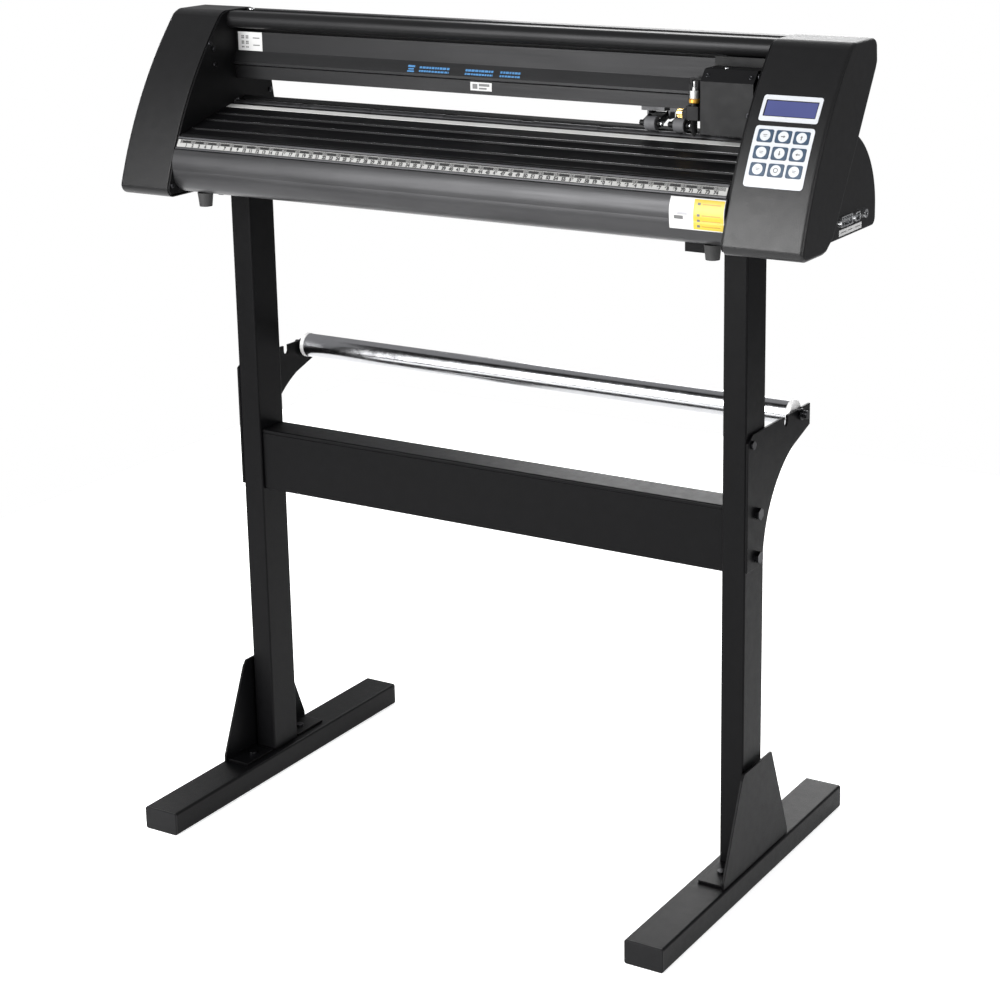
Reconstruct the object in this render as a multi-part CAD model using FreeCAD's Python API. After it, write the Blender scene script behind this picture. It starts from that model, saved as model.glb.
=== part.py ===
import FreeCAD, Part
import math
import os

from FreeCAD import Vector

# A desktop vinyl cutter bolted to a two-post floor stand.  Millimetres, +X to the operator's right,
# +Y away from the operator, +Z up.  The origin is on the floor under the centre of the whole object.

# ---- driving dimensions: stand ----
POST_SPACING = 700.0
POST_X = 30.0
POST_Y = 50.0
TUBE_WALL = 2.0
FOOT_WIDTH = 50.0
FOOT_HEIGHT = 30.0
FOOT_LENGTH = 484.0
FOOT_CAP = 3.0
POST_TOP = 799.0
TOP_PLATE = 3.0
BEAM_BOTTOM = 399.0
BEAM_TOP = 480.0
BEAM_FRONT = -20.0
BEAM_REAR = 24.0
PLATE = 3.0
GUSSET_GAP = 4.0

# ---- driving dimensions: media roller ----
ROLLER_Y = 116.0
ROLLER_Z = 561.0
ROLLER_R = 15.5
ROLLER_PIN_R = 4.95
NOTCH_R = 5.0
SPARE_NOTCH_Y = 76.0

# ---- driving dimensions: machine ----
INNER_HALF = 380.5
SIDE_PLATE = 2.0
COVER_GAP = 0.5
LEFT_COVER_WIDTH = 76.0
RIGHT_COVER_WIDTH = 94.0
HOUSING_INSET = 18.0
SHEET = 1.5
COVER_ROUNDING = 3.5
COVER_BOTTOM = 798.0
COVER_TOP = 1017.0
FACE_RADIUS = 542.5
FACE_CENTRE_Y = 391.5
FACE_CENTRE_Z = 643.7
HOUSING_RADIUS = 99.0
HOUSING_Y = 11.5
HOUSING_Z = 820.0
TRAY_Z = POST_TOP + TOP_PLATE

# ---- driving dimensions: media path ----
PLATEN_FRONT_Y = -97.0
PLATEN_FRONT_Z = 873.0
PLATEN_SLOPE = 25.0 / 97.0
STRIP_WIDTH = 9.0
STRIP_FRONT_Y = -5.5
FEED_Y = 18.0
FEED_R = 8.0
PINCH_R = 8.0
PINCH_WIDTH = 14.0
PINCH_X = (221.0, 258.0)
PINCH_PIVOT_Y = 40.0
PINCH_PIVOT_Z = 920.5
BEAM_UNDERSIDE = 931.0

# ---- driving dimensions: carriage ----
CARRIAGE_LEFT = 308.0
CARRIAGE_RIGHT = 373.0
COVER_FRONT_Y = -32.0
TOOL_X = 285.0
BELT_Z = 975.0
BELT_Y = 29.0
BELT_PULLEY_R = 8.0
BELT_PULLEY_X = 404.0
BELT_SHAFT_R = 2.5
BELT_THICK = 1.5
BELT_GAP = 0.3

# ---- driving dimensions: feed drive ----
FEED_PULLEY_R = 16.0
MOTOR_PULLEY_R = 8.0
MOTOR_Y = 60.0
MOTOR_Z = 850.0
MOTOR_SIZE = 42.0
MOTOR_BOSS = 0.26
MOTOR_SCREW_HALF = 15.5

# ---- driving dimensions: operator panel, measured along the curved face ----
PANEL_X = 429.5
KEY_PITCH_X = 21.3
KEY_PITCH_S = 19.1
KEY_WIDTH = 18.0
KEY_HEIGHT = 14.5
KEY_TRAVEL = 0.4
KEY_TOP_Z = 922.7
KEY_ROWS = 3
KEY_COLUMNS = 3
OVERLAY = 0.8

# ---- derived ----
CENTRE_X = (LEFT_COVER_WIDTH - RIGHT_COVER_WIDTH) / 2.0
OUTER_FACE = POST_SPACING / 2.0 + POST_X / 2.0
COVER_INNER = INNER_HALF + SIDE_PLATE + COVER_GAP
FEED_Z = PLATEN_FRONT_Z + (FEED_Y - PLATEN_FRONT_Y) * PLATEN_SLOPE + 1.0 - FEED_R
PINCH_Z = FEED_Z + FEED_R + PINCH_R + 0.3
SIDES = (-1.0, 1.0)


# ---------------------------------------------------------------- helpers

def box(x0, x1, y0, y1, z0, z1):
    return Part.makeBox(x1 - x0, y1 - y0, z1 - z0, Vector(x0, y0, z0))


def rod_x(radius, x0, x1, y, z):
    return Part.makeCylinder(radius, x1 - x0, Vector(x0, y, z), Vector(1, 0, 0))


def rod_y(radius, y0, y1, x, z):
    return Part.makeCylinder(radius, y1 - y0, Vector(x, y0, z), Vector(0, 1, 0))


def rod_z(radius, z0, z1, x, y):
    return Part.makeCylinder(radius, z1 - z0, Vector(x, y, z0), Vector(0, 0, 1))


def outline(start, *steps):
    """A closed wire in the YZ plane.  A step is a (y, z) corner, or a pair (through, end) for an arc."""
    edges = []
    here = Vector(0, *start)
    for step in steps + (start,):
        if isinstance(step[0], tuple):
            through = Vector(0, *step[0])
            end = Vector(0, *step[1])
            edges.append(Part.Arc(here, through, end).toShape())
        else:
            end = Vector(0, *step)
            if end.distanceToPoint(here) < 1e-6:
                continue
            edges.append(Part.LineSegment(here, end).toShape())
        here = end
    return Part.Wire(edges)


def along_x(wire, x0, x1):
    face = Part.Face(wire)
    face.translate(Vector(x0, 0, 0))
    return face.extrude(Vector(x1 - x0, 0, 0))


def inset(wire, distance):
    return wire.makeOffset2D(-distance)


def eased_along_x(wire, x0, x1, radius):
    """A prism whose far end is rounded over, as ruled bands between inset copies of its outline."""
    bands = 4
    solid = along_x(wire, x0, x1 - radius)
    previous = wire.copy()
    previous.translate(Vector(x1 - radius, 0, 0))
    for k in range(1, bands + 1):
        turn = math.pi / 2 * k / bands
        section = inset(wire, radius * (1 - math.cos(turn)))
        section.translate(Vector(x1 - radius + radius * math.sin(turn), 0, 0))
        solid = solid.fuse(Part.makeLoft([previous, section], True, True))
        previous = section
    return solid.removeSplitter()


def rounded(shape, radius, along):
    """Round every edge of a prism that runs along the given axis."""
    chosen = []
    for edge in shape.Edges:
        if not isinstance(edge.Curve, Part.Line):
            continue
        direction = edge.tangentAt(edge.FirstParameter)
        if abs(direction.dot(along)) > 0.999:
            chosen.append(edge)
    return shape.makeFillet(radius, chosen)


def rounded_block(x0, x1, y0, y1, z0, z1, radius, along):
    return rounded(box(x0, x1, y0, y1, z0, z1), radius, along)


def hexagon(across, height, base, direction):
    """A hexagonal prism standing on base and pointing along direction."""
    points = []
    for k in range(7):
        angle = math.radians(60 * k)
        points.append(Vector(across / math.sqrt(3) * math.cos(angle), across / math.sqrt(3) * math.sin(angle), 0))
    prism = Part.Face(Part.makePolygon(points)).extrude(Vector(0, 0, height))
    prism.Placement = FreeCAD.Placement(base, FreeCAD.Rotation(Vector(0, 0, 1), direction))
    return prism


def mirror_x(shape):
    return shape.mirror(Vector(0, 0, 0), Vector(1, 0, 0))


def both_sides(shape):
    return [shape, mirror_x(shape)]


def on_side(side, shape):
    return shape if side > 0 else mirror_x(shape)


def belt_loop(centre_a, radius_a, centre_b, radius_b):
    """Corner and middle points, in the plane of the pulleys, of a taut loop around both of them."""
    ax, ay = centre_a
    bx, by = centre_b
    span = math.hypot(bx - ax, by - ay)
    heading = math.atan2(by - ay, bx - ax)
    lean = math.acos((radius_a - radius_b) / span)

    def on(centre, radius, angle):
        return centre[0] + radius * math.cos(angle), centre[1] + radius * math.sin(angle)

    a_low = on(centre_a, radius_a, heading - lean)
    b_low = on(centre_b, radius_b, heading - lean)
    b_far = on(centre_b, radius_b, heading)
    b_high = on(centre_b, radius_b, heading + lean)
    a_high = on(centre_a, radius_a, heading + lean)
    a_far = on(centre_a, radius_a, heading + math.pi)
    return a_low, b_low, b_far, b_high, a_high, a_far


def belt(centre_a, radius_a, centre_b, radius_b, place):
    """A flat belt face; place turns a pair of plane coordinates into a point."""
    wires = []
    for grow in (BELT_GAP + BELT_THICK, BELT_GAP):
        p = [place(*q) for q in belt_loop(centre_a, radius_a + grow, centre_b, radius_b + grow)]
        edges = [
            Part.LineSegment(p[0], p[1]).toShape(),
            Part.Arc(p[1], p[2], p[3]).toShape(),
            Part.LineSegment(p[3], p[4]).toShape(),
            Part.Arc(p[4], p[5], p[0]).toShape(),
        ]
        wires.append(Part.Wire(edges))
    return Part.Face(wires[0]).cut(Part.Face(wires[1]))


# ---------------------------------------------------------------- the curved operator face

def face_angle(z):
    """Angle about the face's centre of the point of the curved face at height z, from -Y upward."""
    return math.asin((z - FACE_CENTRE_Z) / FACE_RADIUS)


def face_point(angle, offset=0.0):
    radius = FACE_RADIUS + offset
    return FACE_CENTRE_Y - radius * math.cos(angle), FACE_CENTRE_Z + radius * math.sin(angle)


def face_skin(low, high, x0, x1):
    """The part of space between two offsets of the curved face."""
    axis = Vector(x0, FACE_CENTRE_Y, FACE_CENTRE_Z)
    outer = Part.makeCylinder(FACE_RADIUS + high, x1 - x0, axis, Vector(1, 0, 0))
    return outer.cut(Part.makeCylinder(FACE_RADIUS + low, x1 - x0, axis, Vector(1, 0, 0)))


def face_patch(x, angle, width, height, radius, low, high):
    """A rounded rectangle that follows the curved face, between two offsets from it."""
    depth = 30.0
    prism = rounded_block(-width / 2, width / 2, -height / 2, height / 2, -depth, depth, radius, Vector(0, 0, 1))
    y, z = face_point(angle)
    turn = FreeCAD.Rotation(Vector(1, 0, 0), math.degrees(math.pi / 2 - angle))
    prism.Placement = FreeCAD.Placement(Vector(x, y, z), turn)
    return prism.common(face_skin(low, high, x - width, x + width))


def key_angle(row):
    return face_angle(KEY_TOP_Z) - row * KEY_PITCH_S / FACE_RADIUS


def key_x(column):
    return PANEL_X + (column - 1) * KEY_PITCH_X


# ---------------------------------------------------------------- stand

def foot_tubes():
    tube = rounded_block(
        -FOOT_WIDTH / 2, FOOT_WIDTH / 2, -FOOT_LENGTH / 2, FOOT_LENGTH / 2, 0, FOOT_HEIGHT, 3.0, Vector(0, 1, 0))
    hollow = box(
        -FOOT_WIDTH / 2 + TUBE_WALL, FOOT_WIDTH / 2 - TUBE_WALL, -FOOT_LENGTH, FOOT_LENGTH,
        TUBE_WALL, FOOT_HEIGHT - TUBE_WALL)
    tube = tube.cut(hollow)
    tube.translate(Vector(POST_SPACING / 2, 0, 0))
    for y in GUSSET_SCREW_Y:
        tube = tube.cut(rod_z(3.0, FOOT_HEIGHT - TUBE_WALL - 1, FOOT_HEIGHT + 1, GUSSET_SCREW_X, y))
    return both_sides(tube)


def foot_end_caps():
    caps = []
    for end in SIDES:
        near = FOOT_LENGTH / 2
        head = box(-FOOT_WIDTH / 2, FOOT_WIDTH / 2, near, near + FOOT_CAP, 0, FOOT_HEIGHT)
        head = rounded(head, 3.0, Vector(0, 1, 0))
        lip = [edge for edge in head.Edges if edge.CenterOfMass.y > near + FOOT_CAP - 0.01]
        head = head.makeFillet(1.4, lip)
        plug = box(
            -FOOT_WIDTH / 2 + TUBE_WALL + 0.2, FOOT_WIDTH / 2 - TUBE_WALL - 0.2, near - 14, near,
            TUBE_WALL + 0.2, FOOT_HEIGHT - TUBE_WALL - 0.2)
        cap = head.fuse(plug).removeSplitter()
        if end < 0:
            cap = cap.mirror(Vector(0, 0, 0), Vector(0, 1, 0))
        cap.translate(Vector(POST_SPACING / 2, 0, 0))
        caps += both_sides(cap)
    return caps


GUSSET_TOP = 157.0
GUSSET_HALF_TOP = 40.0
GUSSET_HALF_BASE = 87.0
GUSSET_STUD_Z = (46.0, 130.0)
GUSSET_STUD_Y = (-15.0, 15.0)
GUSSET_SCREW_X = POST_SPACING / 2 + 2.0
GUSSET_SCREW_Y = (-52.0, 52.0)
BRACKET_BOLT_Z = (417.0, 470.0)
BRACKET_SCREW = (-14.0, 556.0)
MACHINE_BOLT_Y = (-58.0, 56.0)


def posts():
    x = POST_SPACING / 2
    post = rounded_block(
        x - POST_X / 2, x + POST_X / 2, -POST_Y / 2, POST_Y / 2, FOOT_HEIGHT, POST_TOP, 2.0, Vector(0, 0, 1))
    post = post.cut(box(
        x - POST_X / 2 + TUBE_WALL, x + POST_X / 2 - TUBE_WALL, -POST_Y / 2 + TUBE_WALL, POST_Y / 2 - TUBE_WALL,
        FOOT_HEIGHT - 1, POST_TOP + 1))
    for z in BRACKET_BOLT_Z:
        post = post.cut(rod_x(4.0, x - POST_X, x + POST_X, 0, z))
    post = post.cut(rod_x(2.5, x, x + POST_X, *BRACKET_SCREW))
    plate = rounded_block(x - 25, x + 25, -74, 72, POST_TOP, TRAY_Z, 6.0, Vector(0, 0, 1))
    for y in MACHINE_BOLT_Y:
        plate = plate.cut(rod_z(3.0, POST_TOP - 1, TRAY_Z + 1, x, y))
    return both_sides(post.fuse(plate).removeSplitter())


def gussets():
    inner = OUTER_FACE + GUSSET_GAP
    base = FOOT_HEIGHT + PLATE
    wire = outline(
        (-GUSSET_HALF_BASE, FOOT_HEIGHT), (GUSSET_HALF_BASE, FOOT_HEIGHT), (GUSSET_HALF_BASE, base + 5),
        (GUSSET_HALF_TOP, GUSSET_TOP), (-GUSSET_HALF_TOP + 6, GUSSET_TOP), (-GUSSET_HALF_TOP, GUSSET_TOP - 7),
        (-GUSSET_HALF_BASE, base + 5))
    gusset = along_x(wire, inner, inner + PLATE)
    for end in SIDES:
        near = POST_Y / 2 + 3
        y0, y1 = sorted((end * near, end * (GUSSET_HALF_BASE - 4)))
        gusset = gusset.fuse(box(POST_SPACING / 2 - 14, inner, y0, y1, FOOT_HEIGHT, base))
    for y in GUSSET_SCREW_Y:
        gusset = gusset.cut(rod_z(3.0, FOOT_HEIGHT - 1, base + 1, GUSSET_SCREW_X, y))
    for z in GUSSET_STUD_Z:
        for y in GUSSET_STUD_Y:
            gusset = gusset.fuse(rod_x(4.5, OUTER_FACE, inner, y, z))
    return both_sides(gusset.removeSplitter())


def crossbeam():
    half = POST_SPACING / 2 - POST_X / 2
    shell = rounded_block(-half, half, BEAM_FRONT, BEAM_REAR, BEAM_BOTTOM, BEAM_TOP, 2.0, Vector(1, 0, 0))
    hollow = box(
        -half + PLATE, half - PLATE, BEAM_FRONT + TUBE_WALL, BEAM_REAR - TUBE_WALL,
        BEAM_BOTTOM + TUBE_WALL, BEAM_TOP - TUBE_WALL)
    shell = shell.cut(hollow)
    seam = box(-half - 1, half + 1, BEAM_FRONT - 1, BEAM_FRONT + 0.8, BEAM_TOP - 5.2, BEAM_TOP - 4.2)
    shell = shell.cut(seam)
    for z in BRACKET_BOLT_Z:
        shell = shell.cut(rod_x(4.0, half - PLATE - 1, half + 1, 0, z))
        shell = shell.cut(rod_x(4.0, -half - 1, -half + PLATE + 1, 0, z))
    return [shell]


def roller_brackets():
    top = ROLLER_Z + 7.0
    rear = ROLLER_Y + 27.0
    front = -POST_Y / 2
    wire = outline(
        (front, 404.0), (16.0, 404.0), ((38.0, 476.0), (97.0, 527.0)), (rear, 542.0), (rear, top),
        (front + 12, top), (front, top - 8))
    plate = along_x(wire, OUTER_FACE, OUTER_FACE + PLATE)
    for y in (SPARE_NOTCH_Y, ROLLER_Y):
        plate = plate.cut(rod_x(NOTCH_R, OUTER_FACE - 1, OUTER_FACE + PLATE + 1, y, ROLLER_Z))
        plate = plate.cut(box(
            OUTER_FACE - 1, OUTER_FACE + PLATE + 1, y - NOTCH_R, y + NOTCH_R, ROLLER_Z, top + 1))
    for z in BRACKET_BOLT_Z:
        plate = plate.cut(rod_x(4.0, OUTER_FACE - 1, OUTER_FACE + PLATE + 1, 0, z))
    plate = plate.cut(rod_x(2.5, OUTER_FACE - 1, OUTER_FACE + PLATE + 1, *BRACKET_SCREW))
    return both_sides(plate)


def stand_bolts():
    bolts = []
    outer = OUTER_FACE + PLATE
    inside = POST_SPACING / 2 - POST_X / 2 - PLATE
    for z in BRACKET_BOLT_Z:
        shank = rod_x(3.95, inside - 2, outer, 0, z)
        head = hexagon(13.0, 5.3, Vector(outer, 0, z), Vector(1, 0, 0))
        bolts += both_sides(shank.fuse(head).removeSplitter())
    y, z = BRACKET_SCREW
    screw = rod_x(2.45, OUTER_FACE - TUBE_WALL - 2, outer, y, z).fuse(rod_x(5.0, outer, outer + 2.6, y, z))
    bolts += both_sides(screw.removeSplitter())
    base = FOOT_HEIGHT + PLATE
    for y in GUSSET_SCREW_Y:
        shank = rod_z(2.95, FOOT_HEIGHT - TUBE_WALL - 3, base, GUSSET_SCREW_X, y)
        bolts += both_sides(shank.fuse(rod_z(5.5, base, base + 2.8, GUSSET_SCREW_X, y)).removeSplitter())
    for y in MACHINE_BOLT_Y:
        x = POST_SPACING / 2
        shank = rod_z(2.95, POST_TOP, TRAY_Z + SHEET + 3, x, y)
        head = hexagon(10.0, 4.0, Vector(x, y, POST_TOP), Vector(0, 0, -1))
        bolts += both_sides(shank.fuse(head).removeSplitter())
    return bolts


# ---------------------------------------------------------------- media roller

ROLLER_HALF = OUTER_FACE - 3.5
END_CAP = 6.0


def roller_tube():
    half = ROLLER_HALF - END_CAP
    tube = rod_x(ROLLER_R, -half, half, ROLLER_Y, ROLLER_Z)
    return [tube.cut(rod_x(ROLLER_R - 1.5, -half - 1, half + 1, ROLLER_Y, ROLLER_Z))]


def roller_end_caps():
    half = ROLLER_HALF - END_CAP
    rim = rod_x(ROLLER_R + 0.5, half, ROLLER_HALF, ROLLER_Y, ROLLER_Z)
    rim = rim.makeFillet(1.5, [edge for edge in rim.Edges if abs(edge.CenterOfMass.x - ROLLER_HALF) < 0.01])
    plug = rod_x(ROLLER_R - 1.6, half - 14, half, ROLLER_Y, ROLLER_Z)
    cap = rim.fuse(plug).cut(rod_x(ROLLER_PIN_R, half - 20, ROLLER_HALF + 1, ROLLER_Y, ROLLER_Z))
    return both_sides(cap.removeSplitter())


def roller_axles():
    start = ROLLER_HALF - END_CAP - 14
    tip = OUTER_FACE + PLATE + 10
    pin = rod_x(ROLLER_PIN_R, start, tip, ROLLER_Y, ROLLER_Z)
    collar = rod_x(7.2, OUTER_FACE + PLATE + 0.6, OUTER_FACE + PLATE + 3.0, ROLLER_Y, ROLLER_Z)
    groove = rod_x(ROLLER_PIN_R + 1, tip - 4, tip - 3, ROLLER_Y, ROLLER_Z)
    groove = groove.cut(rod_x(ROLLER_PIN_R - 0.9, tip - 5, tip - 2, ROLLER_Y, ROLLER_Z))
    return both_sides(pin.fuse(collar).cut(groove).removeSplitter())


# ---------------------------------------------------------------- machine frame

def cover_outline():
    """Side view of an end cover: curved front, flat top, slanted rear and a narrow bottom."""
    top_angle = face_angle(1011.0)
    bottom_angle = face_angle(810.0)
    y_top, z_top = face_point(top_angle)
    y_mid, z_mid = face_point((top_angle + bottom_angle) / 2)
    y_low, z_low = face_point(bottom_angle)
    return outline(
        (y_low, z_low), ((y_mid, z_mid), (y_top, z_top)), ((0.5, COVER_TOP - 1.5), (6.0, COVER_TOP)),
        (54.0, COVER_TOP), ((61.0, 1014.5), (64.5, 1008.0)), (66.0, 991.0), (62.5, 983.0), (-44.0, 812.0),
        (-62.0, COVER_BOTTOM + 2), (-72.0, COVER_BOTTOM), (y_low + 13, COVER_BOTTOM),
        ((y_low + 3.2, z_low - 8.4), (y_low, z_low)))


def housing_outline(grow=0.0):
    """Side view of a rear housing: a quarter round over a flat bottom, open towards the cover."""
    radius = HOUSING_RADIUS + grow
    low = COVER_BOTTOM + 2 - grow
    rear = HOUSING_Y + radius
    diagonal = radius * math.sqrt(0.5)
    return outline(
        (-70.0, low), (rear - 9, low), ((rear - 2.6, low + 2.6), (rear, low + 9)), (rear, HOUSING_Z),
        ((HOUSING_Y + diagonal, HOUSING_Z + diagonal), (HOUSING_Y, HOUSING_Z + radius)),
        (-70.0, HOUSING_Z + radius))


def side_plate(side):
    body = along_x(inset(cover_outline(), 1.2), INNER_HALF, INNER_HALF + SIDE_PLATE)
    body = body.fuse(along_x(housing_outline(-1.0), INNER_HALF, INNER_HALF + SIDE_PLATE))
    ear = outline((20.0, 850.0), (98.0, 850.0), (94.5, 895.0), (90.5, 920.0), (82.0, 946.0), (20.0, 946.0))
    body = body.fuse(along_x(ear, INNER_HALF, INNER_HALF + SIDE_PLATE))
    front = box(INNER_HALF - 1, INNER_HALF + SIDE_PLATE + 1, -140, -44, 780, TRAY_Z)
    body = body.cut(front)
    reach = (INNER_HALF - 1, INNER_HALF + SIDE_PLATE + 1)
    body = body.cut(rod_x(BEARING_R, *reach, FEED_Y, FEED_Z))
    body = body.cut(box(*reach, BELT_Y - 5, BELT_Y + 5, BELT_Z - 13, BELT_Z + 13))
    for y, z in COVER_SCREWS + BEAM_SCREWS:
        body = body.cut(rod_x(1.5, *reach, y, z))
    body = body.fuse(drive_supports() if side > 0 else idler_fork())
    return [on_side(side, body.removeSplitter())]


def drive_supports():
    """Four pillars for the feed motor and a lug with a hole for the carriage motor."""
    root = INNER_HALF + SIDE_PLATE
    lug = box(root, BELT_PULLEY_X + CARRIAGE_MOTOR_SIZE / 2, CARRIAGE_MOTOR_Y, CARRIAGE_MOTOR_Y + 2.0,
              BELT_Z - CARRIAGE_MOTOR_SIZE / 2, BELT_Z + CARRIAGE_MOTOR_SIZE / 2)
    supports = lug.cut(rod_y(CARRIAGE_MOTOR_SIZE * MOTOR_BOSS + 0.2, 0, 40, BELT_PULLEY_X, BELT_Z))
    for dy in SIDES:
        for dz in SIDES:
            y = MOTOR_Y + dy * MOTOR_SCREW_HALF
            z = MOTOR_Z + dz * MOTOR_SCREW_HALF
            supports = supports.fuse(rod_x(3.0, root, MOTOR_X0, y, z))
    return supports


def idler_fork():
    """Two lugs that carry the ends of the idler pulley's shaft."""
    fork = None
    for y in (BELT_Y - 9.0, BELT_Y + 8.0):
        lug = box(INNER_HALF + SIDE_PLATE, BELT_PULLEY_X + 7.0, y, y + 2.0, BELT_Z - 9.0, BELT_Z + 9.0)
        lug = lug.cut(rod_y(BELT_SHAFT_R + 0.05, y - 1, y + 3, BELT_PULLEY_X, BELT_Z))
        fork = lug if fork is None else fork.fuse(lug)
    return fork


COVER_SCREWS = ((-31.0, 979.0), (-117.5, 813.0), (86.0, 908.0))
BEAM_SCREWS = ((-24.0, 972.0), (-24.0, 952.0))
BEARING_R = 9.0


def cover_shell(width):
    """Folded sheet cover, open on the side of the side plate, with a window towards the rear housing."""
    outer = COVER_INNER + width
    solid = eased_along_x(cover_outline(), COVER_INNER, outer, COVER_ROUNDING)
    hollow = eased_along_x(inset(cover_outline(), SHEET), COVER_INNER - 1, outer - SHEET, COVER_ROUNDING - SHEET)
    shell = solid.cut(hollow)
    window = box(COVER_INNER - 1, outer - HOUSING_INSET - SHEET, -47, 60, COVER_BOTTOM + 4, 915)
    return shell.cut(window)


def left_end_cover():
    return [mirror_x(cover_shell(LEFT_COVER_WIDTH))]


def right_end_cover():
    shell = cover_shell(RIGHT_COVER_WIDTH)
    opening = face_patch(PANEL_X, LCD_ANGLE, LCD_WIDTH + 1, LCD_HEIGHT + 1, 1.0, -6, 6)
    shell = shell.cut(opening)
    for row in range(KEY_ROWS):
        for column in range(KEY_COLUMNS):
            well = face_patch(key_x(column), key_angle(row), KEY_WIDTH - 4, KEY_HEIGHT - 4, 1.0, -6, 6)
            shell = shell.cut(well)
    return [shell]


def rear_housing(width):
    """Shell of a rear housing, cut away where the end cover stands."""
    outer = COVER_INNER + width - HOUSING_INSET
    shell = along_x(housing_outline(), COVER_INNER, outer)
    shell = shell.cut(along_x(housing_outline(-SHEET), COVER_INNER - 1, outer - SHEET))
    keep_out = along_x(cover_outline().makeOffset2D(0.2), COVER_INNER - 1, outer + 1)
    shell = shell.cut(keep_out)
    rear_part = box(COVER_INNER - 2, outer + 2, -46, 120, COVER_BOTTOM - 2, 930)
    return shell.common(rear_part)


def left_rear_housing():
    shell = rear_housing(LEFT_COVER_WIDTH)
    outer = COVER_INNER + LEFT_COVER_WIDTH - HOUSING_INSET
    shell = shell.cut(box(outer - 3, outer + 1, *INLET_Y, *INLET_Z))
    shell = shell.cut(box(outer - 3, outer + 1, *SWITCH_Y, *SWITCH_Z))
    for z in (835.0, 845.0, 855.0, 865.0):
        shell = shell.cut(box(outer - 3, outer + 1, -2, 34, z, z + 3))
    return [mirror_x(shell)]


def right_rear_housing():
    shell = rear_housing(RIGHT_COVER_WIDTH)
    outer = COVER_INNER + RIGHT_COVER_WIDTH - HOUSING_INSET
    for y0, y1, z0, z1 in PORTS:
        shell = shell.cut(box(outer - 3, outer + 1, y0, y1, z0, z1))
    shell = shell.cut(rod_x(JACK_R, outer - 3, outer + 1, JACK_Y, JACK_Z))
    return [shell]


INLET_Y = (30.0, 58.0)
INLET_Z = (808.0, 828.0)
SWITCH_Y = (66.0, 86.0)
SWITCH_Z = (811.0, 825.0)
PORTS = ((12.0, 43.0, 812.0, 824.5), (51.0, 63.5, 812.5, 823.5))
JACK_Y = 77.0
JACK_Z = 818.0
JACK_R = 5.2


def port_connectors():
    """Serial and data sockets and a round jack on the right, and the mains inlet on the left."""
    outer = COVER_INNER + RIGHT_COVER_WIDTH - HOUSING_INSET
    solids = []
    for y0, y1, z0, z1 in PORTS:
        shell = box(outer - 12, outer + 2.5, y0 + 0.2, y1 - 0.2, z0 + 0.2, z1 - 0.2)
        shell = rounded(shell, 1.8, Vector(1, 0, 0))
        shell = shell.cut(box(outer - 8, outer + 4, y0 + 1.6, y1 - 1.6, z0 + 1.6, z1 - 1.6))
        tongue = box(outer - 9, outer + 0.5, y0 + 3.2, y1 - 3.2, z0 + 4.6, z1 - 4.6)
        solids.append(shell.fuse(tongue).removeSplitter())
    jack = rod_x(JACK_R - 0.2, outer - 12, outer + 4.0, JACK_Y, JACK_Z)
    solids.append(jack.cut(rod_x(2.4, outer - 6, outer + 5, JACK_Y, JACK_Z)))
    outer = COVER_INNER + LEFT_COVER_WIDTH - HOUSING_INSET
    flange = box(outer, outer + 2, INLET_Y[0] - 4, INLET_Y[1] + 4, INLET_Z[0] - 2.5, INLET_Z[1] + 2.5)
    flange = rounded(flange, 3.0, Vector(1, 0, 0))
    body = box(outer - 18, outer, INLET_Y[0] + 0.2, INLET_Y[1] - 0.2, INLET_Z[0] + 0.2, INLET_Z[1] - 0.2)
    body = body.fuse(flange).cut(box(outer - 14, outer + 3, 33, 55, 811, 825))
    for y in (38.0, 44.0, 50.0):
        body = body.fuse(box(outer - 16, outer - 2, y - 1, y + 1, 816, 820))
    solids.append(mirror_x(body.removeSplitter()))
    return solids


def power_switch():
    """Rocker of the mains switch, pivoted about Z in its opening in the left rear housing."""
    outer = COVER_INNER + LEFT_COVER_WIDTH - HOUSING_INSET
    y0 = SWITCH_Y[0] + 1.2
    y1 = SWITCH_Y[1] - 1.2
    middle = (y0 + y1) / 2
    points = [
        Vector(outer - 6, y0 + 4, 0), Vector(outer - 6, y1 - 4, 0), Vector(outer - 1, y1, 0),
        Vector(outer + 2.2, y1, 0), Vector(outer + 0.6, middle, 0), Vector(outer + 2.2, y0, 0),
        Vector(outer - 1, y0, 0), Vector(outer - 6, y0 + 4, 0)]
    rocker = Part.Face(Part.makePolygon(points)).extrude(Vector(0, 0, SWITCH_Z[1] - SWITCH_Z[0] - 1.0))
    rocker.translate(Vector(0, 0, SWITCH_Z[0] + 0.5))
    return [mirror_x(rocker)]


def base_tray():
    """Folded floor and rear wall between the side plates, with the stand's bolt holes."""
    floor = TRAY_Z + SHEET
    wire = outline(
        (-86.0, TRAY_Z), (44.0, TRAY_Z), (44.0, 899.0), (36.0, 901.0), (36.0, 899.4), (42.5, 897.8),
        (42.5, floor), (-86.0, floor))
    tray = along_x(wire, -INNER_HALF, INNER_HALF)
    for side in SIDES:
        for y in MACHINE_BOLT_Y:
            tray = tray.cut(rod_z(3.0, TRAY_Z - 1, floor + 1, side * POST_SPACING / 2, y))
    return [tray]


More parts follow.
